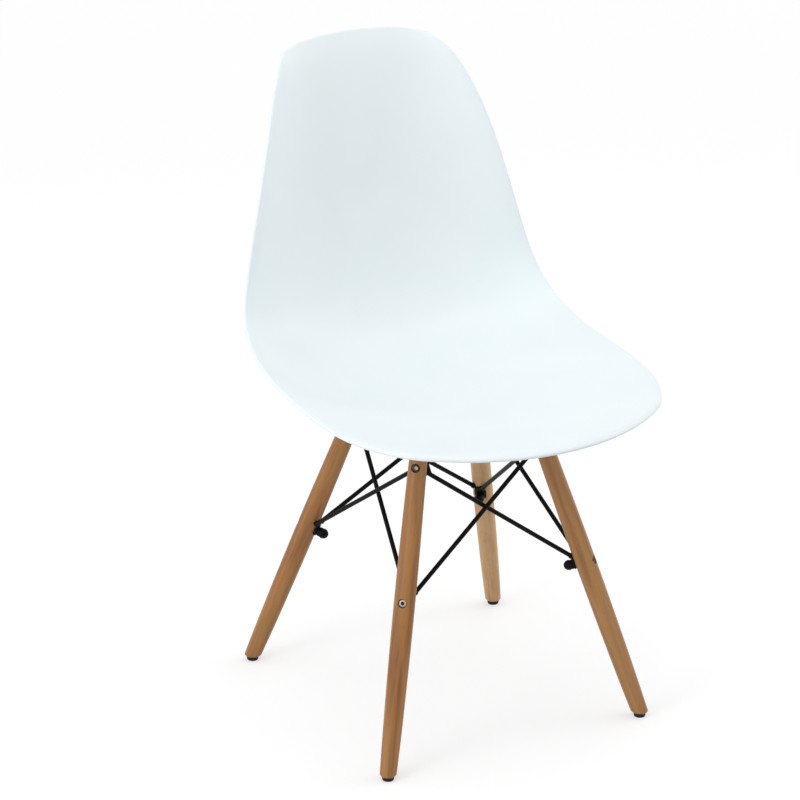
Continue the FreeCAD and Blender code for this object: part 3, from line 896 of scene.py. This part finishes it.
@dataclass
class SeatShell:
    """The one-piece seat and back, with a round nose on its rim and bosses below."""

    form: ShellForm = field(default_factory=ShellForm)
    columns: int = 64
    rows: int = 132
    margin_across: float = 0.20
    margin_along: float = 0.12
    nose_steps: int = 7
    lip_distances: tuple[float, ...] = (0.004, 0.0065, 0.010, 0.015)
    border_rows: int = 10
    border_growth: float = 1.4
    ray_samples: int = 60
    boss_radius: float = 0.013
    boss_edge: float = 0.0008
    boss_fillet: float = 0.006
    boss_steps: int = 6
    boss_sides: int = 48
    boss_bottom: float = 0.394
    boss_x: float = 0.064
    boss_y: Pair = (-0.055, 0.069)
    seat_across: tuple[float, float, int] = (0.05, 0.95, 120)
    seat_along: tuple[float, float, int] = (0.05, 0.6, 160)
    crease: float = 50.0

    def border(self) -> np.ndarray:
        """Return the grid places round the border of the field, in order."""
        n, m = self.columns, self.rows
        return np.array([(i, 0) for i in range(n)] + [(n, j) for j in range(m)]
                        + [(i, m) for i in range(n, 0, -1)] + [(0, j) for j in range(m, 0, -1)])

    def rim_rows(self, net: np.ndarray, inner: np.ndarray) -> tuple[np.ndarray, list[float]]:
        """Return the rows of points between the rim and the field's border.

        The first rows lie at set distances from the rim, whatever the net does there.

        Args:
            net: the control net of the middle of the wall.
            inner: the (across, along) places of the field's border.

        Returns:
            The points, row by row, and each row's half thickness.
        """
        share = self.border() / (self.columns, self.rows)
        steps = np.linspace(0, 1, self.ray_samples) ** 2
        rays = share[:, None, :] + (inner - share)[:, None, :] * steps[None, :, None]
        along_rays = spline_points(net, rays.reshape(-1, 2))
        depth = distance_to_loop(along_rays, spline_points(net, share)).reshape(len(share), -1)
        depth = np.maximum.accumulate(depth, axis=1)
        radius = self.form.wall / 2
        turns = quarter_turns(self.nose_steps)
        wanted = [radius * (1 - math.cos(turn)) for turn in turns] + list(self.lip_distances)
        halves = [radius * math.sin(turn) for turn in turns]
        halves += [radius] * (len(self.lip_distances) + self.border_rows)
        at = np.array([np.interp(wanted, row, steps) for row in depth]).T
        at[0] = 0.0
        last = at[-1]
        for k in range(1, self.border_rows + 1):
            share_in = (k / (self.border_rows + 1)) ** self.border_growth
            at = np.vstack([at, last + (1 - last) * share_in])
        places = share[None] + (inner - share)[None] * at[:, :, None]
        return spline_points(net, places.reshape(-1, 2)), halves

    def sheet(self) -> tuple[np.ndarray, np.ndarray, np.ndarray, int]:
        """Return the middle of the wall as one sheet.

        Returns:
            Its points, their half thickness, its faces, and how many points lie on the rim.
        """
        net = self.form.net()
        u = np.linspace(self.margin_across, 1 - self.margin_across, self.columns + 1)
        v = np.linspace(self.margin_along, 1 - self.margin_along, self.rows + 1)
        places = np.stack(np.meshgrid(u, v, indexing="ij"), axis=-1).reshape(-1, 2)
        border = self.border()
        number = border[:, 0] * (self.rows + 1) + border[:, 1]
        rows, halves = self.rim_rows(net, places[number])
        count, base = len(border), len(rows)
        points = np.vstack([rows, spline_points(net, places)])
        thick = np.full(len(points), self.form.wall / 2)
        thick[:base] = np.repeat(halves, count)
        rings = [np.arange(count) + count * k for k in range(len(halves))] + [number + base]
        faces = ring_faces(rings) + grid_faces(self.columns + 1, self.rows + 1, base)
        return points, thick, np.array(faces), count

    def wall_mesh(self) -> Mesh:
        """Return the wall: the sheet thickened both ways, down to nothing at the rim."""
        points, thick, faces, count = self.sheet()
        a, b, c, d = (points[faces[:, corner]] for corner in range(4))
        square = np.cross(c - a, d - b)
        normals = np.zeros_like(points)
        for corner in range(4):
            np.add.at(normals, faces[:, corner], square)
        normals *= (thick / np.linalg.norm(normals, axis=1))[:, None]
        under = faces.copy()
        under[under >= count] += len(points) - count
        return mesh_from("seat_shell_wall", np.vstack([points + normals, (points - normals)[count:]]),
                         np.vstack([faces, under[:, ::-1]]))

    def underside_height(self, x: float, y: float) -> float:
        """Return the height of the middle of the wall over a place on the floor.

        It takes the nearest of many points. seat_across and seat_along say from where to where they
        lie, and how many they are.

        Args:
            x: the place's X.
            y: the place's Y.

        Returns:
            The height.
        """
        net = self.form.net()
        points = np.einsum("ia,jb,abk->ijk", spline_basis(net.shape[0], np.linspace(*self.seat_across)),
                           spline_basis(net.shape[1], np.linspace(*self.seat_along)), net).reshape(-1, 3)
        nearest = np.argmin((points[:, 0] - x) ** 2 + (points[:, 1] - y) ** 2)
        return float(points[nearest, 2])

    def boss_mesh(self, x: float, y: float) -> Mesh:
        """Return one moulded boss that flares where it joins the underside.

        Args:
            x: its X.
            y: its Y.

        Returns:
            The mesh.
        """
        top = self.underside_height(x, y)
        root = top - self.form.wall / 2
        profile = [(ON_AXIS, self.boss_bottom), (self.boss_radius - self.boss_edge, self.boss_bottom),
                   (self.boss_radius, self.boss_bottom + self.boss_edge)]
        for turn in quarter_turns(self.boss_steps):
            profile.append((self.boss_radius + self.boss_fillet * (1 - math.cos(turn)),
                            root - self.boss_fillet * (1 - math.sin(turn))))
        profile += [(self.boss_radius, top), (ON_AXIS, top)]
        mesh = lathe("boss", profile, self.boss_sides)
        mesh.transform(Matrix.Translation((x, y, 0)))
        return mesh

    def build(self) -> None:
        """Build the shell, dress it and tie it to its CAD node."""
        bosses = [self.boss_mesh(side * self.boss_x, y) for side in (-1, 1) for y in self.boss_y]
        mesh = joined("seat_shell_looks", [self.wall_mesh(), *bosses])
        shade(mesh, self.crease)
        finish_piece(add_object("seat_shell_looks", mesh), Finish.SHELL, ["seat_shell"])


# Legs and what is fixed to them


@dataclass(frozen=True)
class LegPlace:
    """One leg's place and joints. Local Z runs up its axis and local X leans in to the middle."""

    corner: Corner
    behind_middle: float = 0.007
    foot_x: float = 0.186
    foot_y: float = 0.191
    joint_x: float = 0.090
    joint_y: float = 0.087
    joint_z: float = 0.364
    joint_radius: float = 0.012
    belly_at: float = 0.222
    belly_radius: float = 0.0134
    bore_depth: float = 0.0065

    def spot(self, x: float, y: float, z: float) -> Vector:
        """Return this leg's copy of a place of the rear right leg, with Y from the legs' middle."""
        across, back = self.corner.value
        return Vector((across * x, back * y + self.behind_middle, z))

    @property
    def foot(self) -> Vector:
        """Where the axis meets the floor."""
        return self.spot(self.foot_x, self.foot_y, 0)

    @property
    def joint(self) -> Vector:
        """Where the axis meets the upper bolt."""
        return self.spot(self.joint_x, self.joint_y, self.joint_z)

    @property
    def axis(self) -> Vector:
        """The direction up the leg."""
        return (self.joint - self.foot).normalized()

    @property
    def inward(self) -> Vector:
        """The direction square to the axis that leans in to the middle."""
        level = Vector((self.axis.x, self.axis.y, 0)).normalized()
        return (level - self.axis * level.dot(self.axis)).normalized()

    @property
    def upper(self) -> float:
        """How far up the axis the upper bolt is."""
        return (self.joint - self.foot).length

    @property
    def bolts(self) -> tuple[Pair, Pair]:
        """The upper and the lower bolt: how far up the axis, and the leg's radius there."""
        return (self.upper, self.joint_radius), (self.belly_at, self.belly_radius)

    @property
    def matrix(self) -> Matrix:
        """The leg's own frame."""
        turn = Matrix((self.inward, self.axis.cross(self.inward), self.axis)).transposed()
        return Matrix.Translation(self.foot) @ turn.to_4x4()

    def at(self, along: float, inside: float = 0.0) -> Vector:
        """Return the point that lies so far up the axis and so far inside it."""
        return self.foot + self.axis * along + self.inward * inside


LEGS: dict[Corner, LegPlace] = {corner: LegPlace(corner) for corner in Corner}


@dataclass
class TurnedLegs:
    """The four wooden legs: turned, sawn level, rounded at both ends and bored."""

    above_joint: float = 0.0175
    foot_radius: float = 0.0106
    top_radius: float = 0.0114
    foot_power: float = 2.0
    top_power: float = 1.6
    foot_round: float = 0.0034
    top_round: float = 0.0026
    saw_height: float = 0.0058
    straight_from: float = 0.060
    hole_radius: float = 0.00325
    bore_radius: float = 0.0057
    cutter_reach: float = 0.04
    cutter_sides: int = 40
    round_rows: int = 10
    rows: int = 60
    sides: int = 72
    crease: float = 40.0
    fairness: Span = (0.0, 0.10, 0.78, 0.02)
    grain_shift: Triple = (0.31, 0.17, 0.9)

    def cutter(self, leg: LegPlace) -> Object:
        """Return the bolt holes and counterbores of one leg, as one solid.

        Args:
            leg: the leg.

        Returns:
            The solid.
        """
        meshes = []
        for along, radius in leg.bolts:
            seat, reach = radius - leg.bore_depth, self.cutter_reach
            profile = [(ON_AXIS, -reach), (self.hole_radius, -reach), (self.hole_radius, seat),
                       (self.bore_radius, seat), (self.bore_radius, reach), (ON_AXIS, reach)]
            mesh = lathe("cutter", profile, self.cutter_sides)
            mesh.transform(Matrix.Translation((0, 0, along)) @ Matrix.Rotation(-math.pi / 2, 4, "Y"))
            meshes.append(mesh)
        mesh = joined("cutter", meshes)
        mesh.transform(leg.matrix)
        return add_object("cutter", mesh)

    def row_heights(self, length: float) -> list[float]:
        """Return the heights of a leg's rows, close together where its ends are rounded.

        Args:
            length: the leg's length.

        Returns:
            The heights, from the foot up.
        """
        turns = quarter_turns(self.round_rows)
        low = [self.foot_round * (1 - math.cos(turn)) for turn in turns]
        high = [length - self.top_round * (1 - math.cos(turn)) for turn in reversed(turns)]
        run = high[0] - low[-1]
        return low + [low[-1] + run * k / self.rows for k in range(1, self.rows)] + high

    def saw_level(self, mesh: Mesh, leg: LegPlace) -> None:
        """Move a turned leg's lower rows so that its foot is level on the floor.

        Args:
            mesh: the leg's mesh, in its own frame.
            leg: the leg.
        """
        for vertex in mesh.vertices:
            x, _, height = vertex.co
            cut = (self.saw_height - x * leg.inward.z) / leg.axis.z
            vertex.co.z = height + cut * max(0.0, 1 - height / self.straight_from)

    def write_grain(self, mesh: Mesh, leg: LegPlace, number: int) -> None:
        """Store each point's place in the leg's own frame and the leg's tone, for the wood.

        Args:
            mesh: the leg's mesh.
            leg: the leg.
            number: the leg's number, which shifts the pattern.
        """
        back = leg.matrix.inverted()
        shift = Vector(self.grain_shift) * number
        mesh.attributes.new("grain", "FLOAT_VECTOR", "POINT")
        mesh.attributes.new("tone", "FLOAT", "POINT")
        grain, tone = mesh.attributes["grain"].data, mesh.attributes["tone"].data
        for vertex, place, fair in zip(mesh.vertices, grain, tone):
            place.vector = back @ vertex.co + shift
            fair.value = self.fairness[number]

    def build(self) -> None:
        """Build the four legs."""
        tree = turned_leg_tree()
        for number, leg in enumerate(LEGS.values()):
            length = leg.upper + self.above_joint
            heights = self.row_heights(length)
            start = wire("leg", [(0, 0, h) for h in heights], [(k, k + 1) for k in range(len(heights) - 1)])
            piece = grow(tree, "leg_looks_" + leg.corner.label, start, {
                "Length": length, "Foot radius": self.foot_radius, "Belly radius": leg.belly_radius,
                "Belly at": leg.belly_at, "Top radius": self.top_radius, "Foot power": self.foot_power,
                "Top power": self.top_power, "Foot round": self.foot_round,
                "Top round": self.top_round, "Sides": self.sides, "Material": Finish.WOOD.material()})
            self.saw_level(piece.data, leg)
            piece.data.transform(leg.matrix)
            cut_away(piece, self.cutter(leg))
            self.write_grain(piece.data, leg, number)
            shade(piece.data, self.crease)
            finish_piece(piece, Finish.WOOD, ["leg_" + leg.corner.label])


def spread(name: str, part: Object, places: Sequence[Place], finish: Finish,
           nodes: Sequence[str], tree: NodeTree) -> None:
    """Make a piece of one part at each place.

    Args:
        name: the new piece's name.
        part: the part; it is removed afterwards.
        places: points, each with the directions of the part's Z and X.
        finish: the finish.
        nodes: the CAD nodes that the piece stands for.
        tree: the tree that places the part.
    """
    start = wire(name, [place[0] for place in places], [])
    for number, key in ((1, "axis"), (2, "side")):
        start.attributes.new(key, "FLOAT_VECTOR", "POINT")
        for item, place in zip(start.attributes[key].data, places):
            item.vector = place[number]
    piece = grow(tree, name, start, {"Part": part, "Material": finish.material()})
    bpy.data.objects.remove(part)
    shade(piece.data)
    finish_piece(piece, finish, nodes)


@dataclass
class LegHardware:
    """Bolts, nuts and glides: one part each, repeated at the four legs."""

    tree: NodeTree
    bolt_radius: float = 0.003
    upper_length: float = 0.027
    lower_length: float = 0.029
    head_radius: float = 0.005
    head_height: float = 0.0038
    head_edge: float = 0.0006
    socket_flats: float = 0.0044
    socket_depth: float = 0.0026
    socket_cone: float = 0.0008
    cone_share: float = 0.8
    mark_share: float = 0.95
    bolt_sides: int = 48
    saddle_wall: float = 0.003
    neck_radius: float = 0.0058
    neck_length: float = 0.0014
    cap_radius: float = 0.0067
    cap_end: float = 0.0140
    cap_widest: float = 0.42
    cap_steps: int = 12
    cap_first_step: int = -3
    glide_top: float = 0.0082
    glide_floor: float = 0.0074
    glide_height: float = 0.0062
    glide_edges: Pair = (0.0009, 0.0006)
    glide_sides: int = 56

    def socket_bolt(self, length: float) -> Object:
        """Return a socket-head bolt whose head's underside is at the origin.

        Args:
            length: the shank's length.

        Returns:
            The bolt, with its head along +Z and its socket's faces marked for the finish's painted shade
            and highlight.
        """
        top, wide, edge = self.head_height, self.head_radius, self.head_edge
        middle = edge * BEVEL_MIDDLE
        profile = [(ON_AXIS, -length), (self.bolt_radius, -length), (self.bolt_radius, 0), (wide, 0),
                   (wide, top - edge), (wide - middle, top - middle), (wide - edge, top), (ON_AXIS, top)]
        bolt = add_object("bolt", lathe("bolt", profile, self.bolt_sides))
        reach = self.socket_flats / math.sqrt(3)
        low, above = top - self.socket_depth, 2 * wide
        key = [(ON_AXIS, low - self.socket_cone), (reach * self.cone_share, low), (reach, low),
               (reach, above), (ON_AXIS, above)]
        cut_away(bolt, add_object("key", lathe("key", key, 6)))
        # Mark the socket's faces, where the lower bolts' finish paints shade into the recess and the upper
        # bolts' finish paints a highlight.
        marks = bolt.data.attributes.new("socket", "FLOAT", "FACE")
        for face, mark in zip(bolt.data.polygons, marks.data):
            inside = math.hypot(face.center.x, face.center.y) < reach * self.mark_share
            mark.value = float(inside and low - 2 * self.socket_cone < face.center.z < top - ON_AXIS)
        return bolt

    def cap_nut(self) -> Object:
        """Return the lower joint's cap nut: a short neck that swells into a dome, along +Z."""
        start = self.neck_length
        middle = start + (self.cap_end - start) * self.cap_widest
        profile = [(ON_AXIS, 0), (self.neck_radius, 0), (self.neck_radius, start * 0.5),
                   (self.neck_radius + (self.cap_radius - self.neck_radius) * 0.5, start)]
        for turn in quarter_turns(self.cap_steps, self.cap_first_step)[:-1]:
            rise = (self.cap_end - middle) if turn > 0 else (middle - start)
            profile.append((self.cap_radius * math.cos(turn), middle + rise * math.sin(turn)))
        profile.append((ON_AXIS, self.cap_end))
        return add_object("cap nut", lathe("cap nut", profile, self.bolt_sides))

    def glide(self) -> Object:
        """Return a glide with soft edges, from the floor up."""
        low, high = self.glide_edges
        middle = low * BEVEL_MIDDLE
        profile = [(ON_AXIS, 0), (self.glide_floor - low, 0), (self.glide_floor - middle, middle),
                   (self.glide_floor, low), (self.glide_top, self.glide_height - high),
                   (self.glide_top - high, self.glide_height), (ON_AXIS, self.glide_height)]
        return add_object("glide", lathe("glide", profile, self.glide_sides))

    def build(self) -> None:
        """Build the bolts, cap nuts and glides."""
        upper, lower, caps, feet = [], [], [], []
        for leg in LEGS.values():
            for places, (along, radius) in zip((upper, lower), leg.bolts):
                places.append((leg.at(along, leg.bore_depth - radius), -leg.inward, leg.axis))
            caps.append((leg.at(leg.belly_at, leg.belly_radius + self.saddle_wall), leg.inward, leg.axis))
            centre = leg.foot + leg.axis * (self.glide_height / leg.axis.z)
            feet.append((Vector((centre.x, centre.y, 0)), UP, Vector((1, 0, 0))))
        # The upper bolts get painted shade on their faces and a painted highlight in their sockets; the
        # lower bolts get painted shade in their sockets.
        for name, part, places, finish, node in (
                ("upper_bolts_looks", self.socket_bolt(self.upper_length), upper, Finish.DULL_BOLT,
                 "upper_leg_bolts"),
                ("lower_bolts_looks", self.socket_bolt(self.lower_length), lower, Finish.BRIGHT_BOLT,
                 "lower_leg_bolts"),
                ("cap_nuts_looks", self.cap_nut(), caps, Finish.STEEL, "lower_cap_nuts"),
                ("glides_looks", self.glide(), feet, Finish.GLIDE, "glides")):
            spread(name, part, places, finish, [node], self.tree)


# Steel bracing


@dataclass(frozen=True)
class PressedSaddle:
    """A pressed plate that hugs the inner side of a leg, with a soft outline and edges."""

    leg_radius: float
    half_angle: float
    below: float
    above: float
    gap: float = 0.0004
    wall: float = 0.0026
    outline_power: float = 3.6
    edge_power: float = 7.0
    steps: int = 14
    crowding: float = 1.7

    def part(self) -> Object:
        """Return the plate round +Z with its middle on +X, and the bolt's height at zero.

        Returns:
            The plate.
        """
        side = [1 - (1 - k / self.steps) ** self.crowding for k in range(self.steps + 1)]
        line = [-value for value in reversed(side[1:])] + side
        middle = self.leg_radius + self.gap + self.wall / 2
        outer, inner = [], []
        for s in line:
            for t in line:
                reach = max(abs(s), abs(t))
                total = abs(s) ** self.outline_power + abs(t) ** self.outline_power
                pull = reach / total ** (1 / self.outline_power) if reach else 1.0
                angle = math.radians(self.half_angle) * s * pull
                height = t * pull * (self.above if t > 0 else self.below)
                half = self.wall / 2 * (1 - reach ** self.edge_power) ** (1 / self.edge_power)
                for face, radius in ((outer, middle + half), (inner, middle - half)):
                    face.append((radius * math.cos(angle), radius * math.sin(angle), height))
        count = len(line)
        faces = grid_faces(count, count) + grid_faces(count, count, count * count)
        return add_object("saddle", mesh_from("saddle", outer + inner, faces))


@dataclass
class SteelFrame:
    """Saddles on the legs, crossed rods between them, and the round bars of the top frame."""

    tree: NodeTree
    upper_plate: PressedSaddle = PressedSaddle(LegPlace.joint_radius, 53.0, 0.011, 0.025)
    lower_plate: PressedSaddle = PressedSaddle(LegPlace.belly_radius, 31.0, 0.0058, 0.0150)
    rod_radius: float = 0.0029
    aim_inside: float = 0.007
    aim_above: float = 0.0015
    crossing_gap: float = 0.0004
    upper_gap: float = 0.0138
    lower_gap: float = 0.0152
    trim_places: int = 2001
    bar_radius: float = 0.005
    bar_height: float = 0.380
    bar_x: float = 0.078
    bar_y: float = 0.076
    bar_sides: int = 32
    bead: tuple[Pair, ...] = (
        (0.0009, -0.0016), (0.0009, 0.0002), (0.0006, 0.0011), (0.0002, 0.0020), (0.0, 0.0028))
    bead_sides: int = 28
    web_rise: float = 0.0145
    web_reach: float = 0.0145
    web_wall: float = 0.0026
    web_back: float = 0.0015
    web_step: float = 0.0005
    web_foot: float = 0.6
    web_edge: float = 0.0004
    web_segments: int = 3

    def trimmed(self, start: Vector, end: Vector, first: LegPlace, last: LegPlace,
                first_gap: float, last_gap: float) -> tuple[Vector, Vector]:
        """Return a bar's ends, moved in to where it meets the saddles.

        Args:
            start: the end near the first leg's axis.
            end: the end near the last leg's axis.
            first: the leg at the start.
            last: the leg at the end.
            first_gap: how far from the first leg's axis the bar starts.
            last_gap: how far from the last leg's axis it ends.

        Returns:
            The two ends.
        """
        shares = [float(share) for share in np.linspace(0, 1, self.trim_places)]
        run = end - start

        def clear(leg: LegPlace, gap: float, order: list[float]) -> Vector:
            """Return the first place along the bar that is clear of a leg."""
            for share in order:
                out = start + run * share - leg.foot
                if (out - leg.axis * out.dot(leg.axis)).length >= gap:
                    return start + run * share
            return start + run * order[0]

        return clear(first, first_gap, shares), clear(last, last_gap, shares[::-1])

    def rods(self) -> tuple[list[str], Ends]:
        """Return the CAD names and the ends of the eight crossed rods."""
        names, ends = [], []
        for corner in Corner:
            for high, low, inner in ((corner, corner.following, 1), (corner.following, corner, -1)):
                a, b = LEGS[high], LEGS[low]
                start = a.joint + a.inward * self.aim_inside
                end = b.at(b.belly_at + self.aim_above, self.aim_inside)
                across, back = high.value
                along_x = abs(start.x - end.x) > abs(start.y - end.y)
                aside = Vector((0, -back, 0)) if along_x else Vector((-across, 0, 0))
                shift = aside * ((self.rod_radius + self.crossing_gap / 2) * inner)
                names.append(f"brace_{high.label}_to_{low.label}")
                ends.append(self.trimmed(start + shift, end + shift, a, b, self.upper_gap, self.lower_gap))
        return names, ends

    def top_bars(self) -> tuple[list[str], Ends]:
        """Return the CAD names and the ends of the four bars of the top frame."""
        names, ends = [], []
        for side, first, last in (("front", Corner.FRONT_LEFT, Corner.FRONT_RIGHT),
                                  ("rear", Corner.REAR_LEFT, Corner.REAR_RIGHT),
                                  ("left", Corner.FRONT_LEFT, Corner.REAR_LEFT),
                                  ("right", Corner.FRONT_RIGHT, Corner.REAR_RIGHT)):
            a, b = LEGS[first], LEGS[last]
            (x, y), (far_x, far_y) = first.value, last.value
            centre = Vector(((x + far_x) / 2 * self.bar_x, a.behind_middle + (y + far_y) / 2 * self.bar_y,
                             self.bar_height))
            half = Vector(((far_x - x) / 2 * a.joint_x, (far_y - y) / 2 * a.joint_y, 0))
            names.append("top_bar_" + side)
            ends.append(self.trimmed(centre - half, centre + half, a, b, self.upper_gap, self.upper_gap))
        return names, ends

    def bars(self, name: str, nodes: Sequence[str], ends: Ends, radius: float,
             tree: NodeTree) -> None:
        """Build round bars between pairs of points.

        Args:
            name: the piece's name.
            nodes: the CAD nodes that the piece stands for.
            ends: the pairs of points.
            radius: the bars' radius.
            tree: the tree that makes the bars.
        """
        edges = [(2 * k, 2 * k + 1) for k in range(len(ends))]
        start = wire(name, [p for pair in ends for p in pair], edges)
        piece = grow(tree, name, start, {
            "Radius": radius, "Sides": self.bar_sides, "Material": Finish.STEEL.material()})
        shade(piece.data)
        finish_piece(piece, Finish.STEEL, nodes)

    def saddles(self) -> None:
        """Build the upper and the lower saddles."""
        for number, (key, plate) in enumerate((("upper", self.upper_plate), ("lower", self.lower_plate))):
            places = [(leg.at(leg.bolts[number][0]), leg.axis, leg.inward) for leg in LEGS.values()]
            nodes = [f"{key}_saddle_{corner.label}" for corner in Corner]
            spread(key + "_saddles_looks", plate.part(), places, Finish.STEEL, nodes, self.tree)

    def weld_beads(self, ends: Ends) -> None:
        """Build the weld beads, one round each end of each rod.

        Args:
            ends: the rods' ends.
        """
        profile = [(self.rod_radius + out, height) for out, height in self.bead]
        profile = [(ON_AXIS, profile[0][1]), *profile, (ON_AXIS, profile[-1][1])]
        places = []
        for start, end in ends:
            along = (end - start).normalized()
            places += [(start, along, UP), (end, -along, UP)]
        bead = add_object("bead", lathe("bead", profile, self.bead_sides))
        spread("weld_beads_looks", bead, places, Finish.STEEL, [], self.tree)

    def webs(self, ends: Ends) -> None:
        """Build the webs: one on each leg, between the saddle and the rod to the following leg.

        Args:
            ends: those rods' ends.
        """
        outline = [(0.0, -self.web_back), (self.web_rise, -self.web_back), (self.web_rise, self.web_step),
                   (self.rod_radius * self.web_foot, self.web_reach), (0.0, self.web_reach)]
        count = len(outline)
        vertices = [(x, side * self.web_wall / 2, z) for side in (-1, 1) for x, z in outline]
        rings = [range(count), range(count, 2 * count)]
        web = add_object("web", mesh_from("web", vertices, [*rings, *ring_faces(rings)]))
        bake(web, "BEVEL", {"width": self.web_edge, "segments": self.web_segments})
        places = [(start, (end - start).normalized(), leg.axis)
                  for (start, end), leg in zip(ends, LEGS.values())]
        spread("webs_looks", web, places, Finish.STEEL, [], self.tree)

    def build(self) -> None:
        """Build the saddles, the rods with their weld beads and webs, and the bars."""
        tree = bar_tree()
        names, ends = self.rods()
        self.saddles()
        self.weld_beads(ends)
        self.webs(ends[::2])
        self.bars("brace_rods_looks", names, ends, self.rod_radius, tree)
        self.bars("top_bars_looks", *self.top_bars(), self.bar_radius, tree)


# Carried-over CAD nodes


def dress_cad_nodes() -> None:
    """Give every CAD node that still shows its procedural material."""
    finishes = {finish.slot: finish for finish in reversed(Finish)}
    for part in frame["record"]["subparts"]:
        node = frame["nodes"][part["node"]]
        if node.hide_render:
            continue
        node.data.materials.clear()
        node.data.materials.append(finishes[part["material_slot"]].material())
        LOG.info("%s keeps its CAD shape", part["node"])


# Studio


@dataclass(frozen=True)
class Studio:
    """The floor, the lights and the camera at the photograph's angle."""

    target: Triple = (-0.0677, 0.007, 0.4193)
    distance: float = 4.530
    azimuth: float = -28.75
    elevation: float = 22.44
    roll: float = 0.43
    focal_pixels: float = 3603.08
    frame_pixels: float = 800.0
    sensor: float = 36.0
    clip: Pair = (0.1, 50.0)
    soft_light: Triple = (1.75, 0.62, 0.44)
    lamp_aim: Triple = (0.0, 0.0, 0.45)
    key_power: float = 10.6
    key_size: float = 1.6
    key_place: Triple = (0.0, 0.0, 2.8)
    side_powers: Pair = (11.0, 5.5)
    side_size: float = 1.0
    side_place: Triple = (2.3, -0.5, 1.4)
    floor_half: float = 12.0
    floor_colour: Colour = (0.58, 0.58, 0.58)
    floor_glow: float = 0.47
    fade_near: float = 1.2
    fade_far: float = 3.6

    def camera(self) -> None:
        """Add the camera."""
        a, e, r = (math.radians(angle) for angle in (self.azimuth, self.elevation, self.roll))
        back = Vector((math.sin(a) * math.cos(e), -math.cos(a) * math.cos(e), math.sin(e)))
        right = (-back).cross(UP).normalized()
        up = right.cross(-back)
        rolled_right, rolled_up = (right * math.cos(r) + up * math.sin(r),
                                   up * math.cos(r) - right * math.sin(r))
        turn = Matrix((rolled_right, rolled_up, back)).transposed().to_4x4()
        data = bpy.data.cameras.new("camera")
        data.sensor_width = self.sensor
        data.lens = self.focal_pixels * self.sensor / self.frame_pixels
        data.clip_start, data.clip_end = self.clip
        camera = add_object("camera", data)
        camera.matrix_world = Matrix.Translation(Vector(self.target) + back * self.distance) @ turn
        bpy.context.scene.camera = camera

    def seen(self, maker: NodeMaker) -> Socket:
        """Return 1 where the camera, a reflection or glass looks, and 0 for the light."""
        path = maker.node("ShaderNodeLightPath")
        total = path.outputs["Is Camera Ray"]
        for name in ("Is Glossy Ray", "Is Transmission Ray"):
            total = maker.out("ShaderNodeMath", 0, {0: total, 1: path.outputs[name]}, operation="MAXIMUM")
        return total

    def show(self, maker: NodeMaker, light: Socket, shown: Socket, output: str) -> None:
        """End a tree with one shader that lights the chair and another that is seen."""
        mix = maker.out("ShaderNodeMixShader", 0, {"Fac": self.seen(maker), 1: light, 2: shown})
        maker.node(output, {"Surface": mix})

    def world(self) -> None:
        """Light the object softly from both sides, front, back and above, and show white behind it."""
        world = bpy.data.worlds.new("studio")
        bpy.context.scene.world = world
        world.use_nodes = True
        maker = NodeMaker(world.node_tree)
        maker.tree.nodes.clear()
        where = maker.out("ShaderNodeTexCoord", "Generated")
        squares = maker.out("ShaderNodeVectorMath", "Vector", {0: where, 1: where}, operation="MULTIPLY")
        strength = maker.out("ShaderNodeVectorMath", "Value", {0: squares, 1: self.soft_light},
                             operation="DOT_PRODUCT")
        light, shown = (maker.out("ShaderNodeBackground", 0, {"Color": WHITE, "Strength": value})
                        for value in (strength, 1.0))
        self.show(maker, light, shown, "ShaderNodeOutputWorld")

    def lamp(self, name: str, place: Triple, power: float, size: float) -> None:
        """Add a square soft lamp that looks at the chair.

        Args:
            name: its name.
            place: where it hangs.
            power: its power in watts.
            size: its side in metres.
        """
        data = bpy.data.lights.new(name, "AREA")
        data.energy = power
        data.size = size
        aim = (Vector(self.lamp_aim) - Vector(place)).to_track_quat("-Z", "Y")
        add_object(name, data).matrix_world = Matrix.Translation(Vector(place)) @ aim.to_matrix().to_4x4()

    def floor(self) -> None:
        """Add the pale floor, which fades into the white behind it."""
        half = self.floor_half
        corners = [(-half, -half, 0), (half, -half, 0), (half, half, 0), (-half, half, 0)]
        floor = add_object("floor", mesh_from("floor", corners, [(0, 1, 2, 3)]))
        material = bpy.data.materials.new("pale floor")
        material.use_nodes = True
        maker = NodeMaker(material.node_tree)
        maker.tree.nodes.clear()
        diffuse = maker.out("ShaderNodeBsdfDiffuse", 0, {"Color": (*self.floor_colour, 1)})
        glow = maker.out("ShaderNodeEmission", 0, {"Strength": self.floor_glow})
        lit = maker.out("ShaderNodeAddShader", 0, {0: diffuse, 1: glow})
        reach = maker.out("ShaderNodeVectorMath", "Value", {0: maker.out("ShaderNodeTexCoord", "Object")},
                          operation="LENGTH")
        share = maker.out("ShaderNodeMapRange", "Result", {
            "Value": reach, "From Min": self.fade_near, "From Max": self.fade_far})
        faded = maker.out("ShaderNodeMixShader", 0, {
            "Fac": share, 1: lit, 2: maker.out("ShaderNodeEmission", 0)})
        self.show(maker, diffuse, faded, "ShaderNodeOutputMaterial")
        floor.data.materials.append(material)

    def build(self) -> None:
        """Set up the whole studio."""
        bpy.context.scene.view_settings.view_transform = "Standard"
        self.world()
        self.lamp("key", self.key_place, self.key_power, self.key_size)
        across, depth, height = self.side_place
        for name, sign, power in zip(("left side", "right side"), (-1, 1), self.side_powers):
            self.lamp(name, (sign * across, depth, height), power, self.side_size)
        self.floor()
        self.camera()


def main() -> None:
    """Build every piece, then the studio."""
    logging.basicConfig(level=logging.INFO, format="%(name)s %(message)s")
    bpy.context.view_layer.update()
    tree = one_at_each_point_tree()
    for assembly in (SeatShell(), TurnedLegs(), LegHardware(tree), SteelFrame(tree)):
        assembly.build()
    dress_cad_nodes()
    Studio().build()


if __name__ == "__main__":
    main()
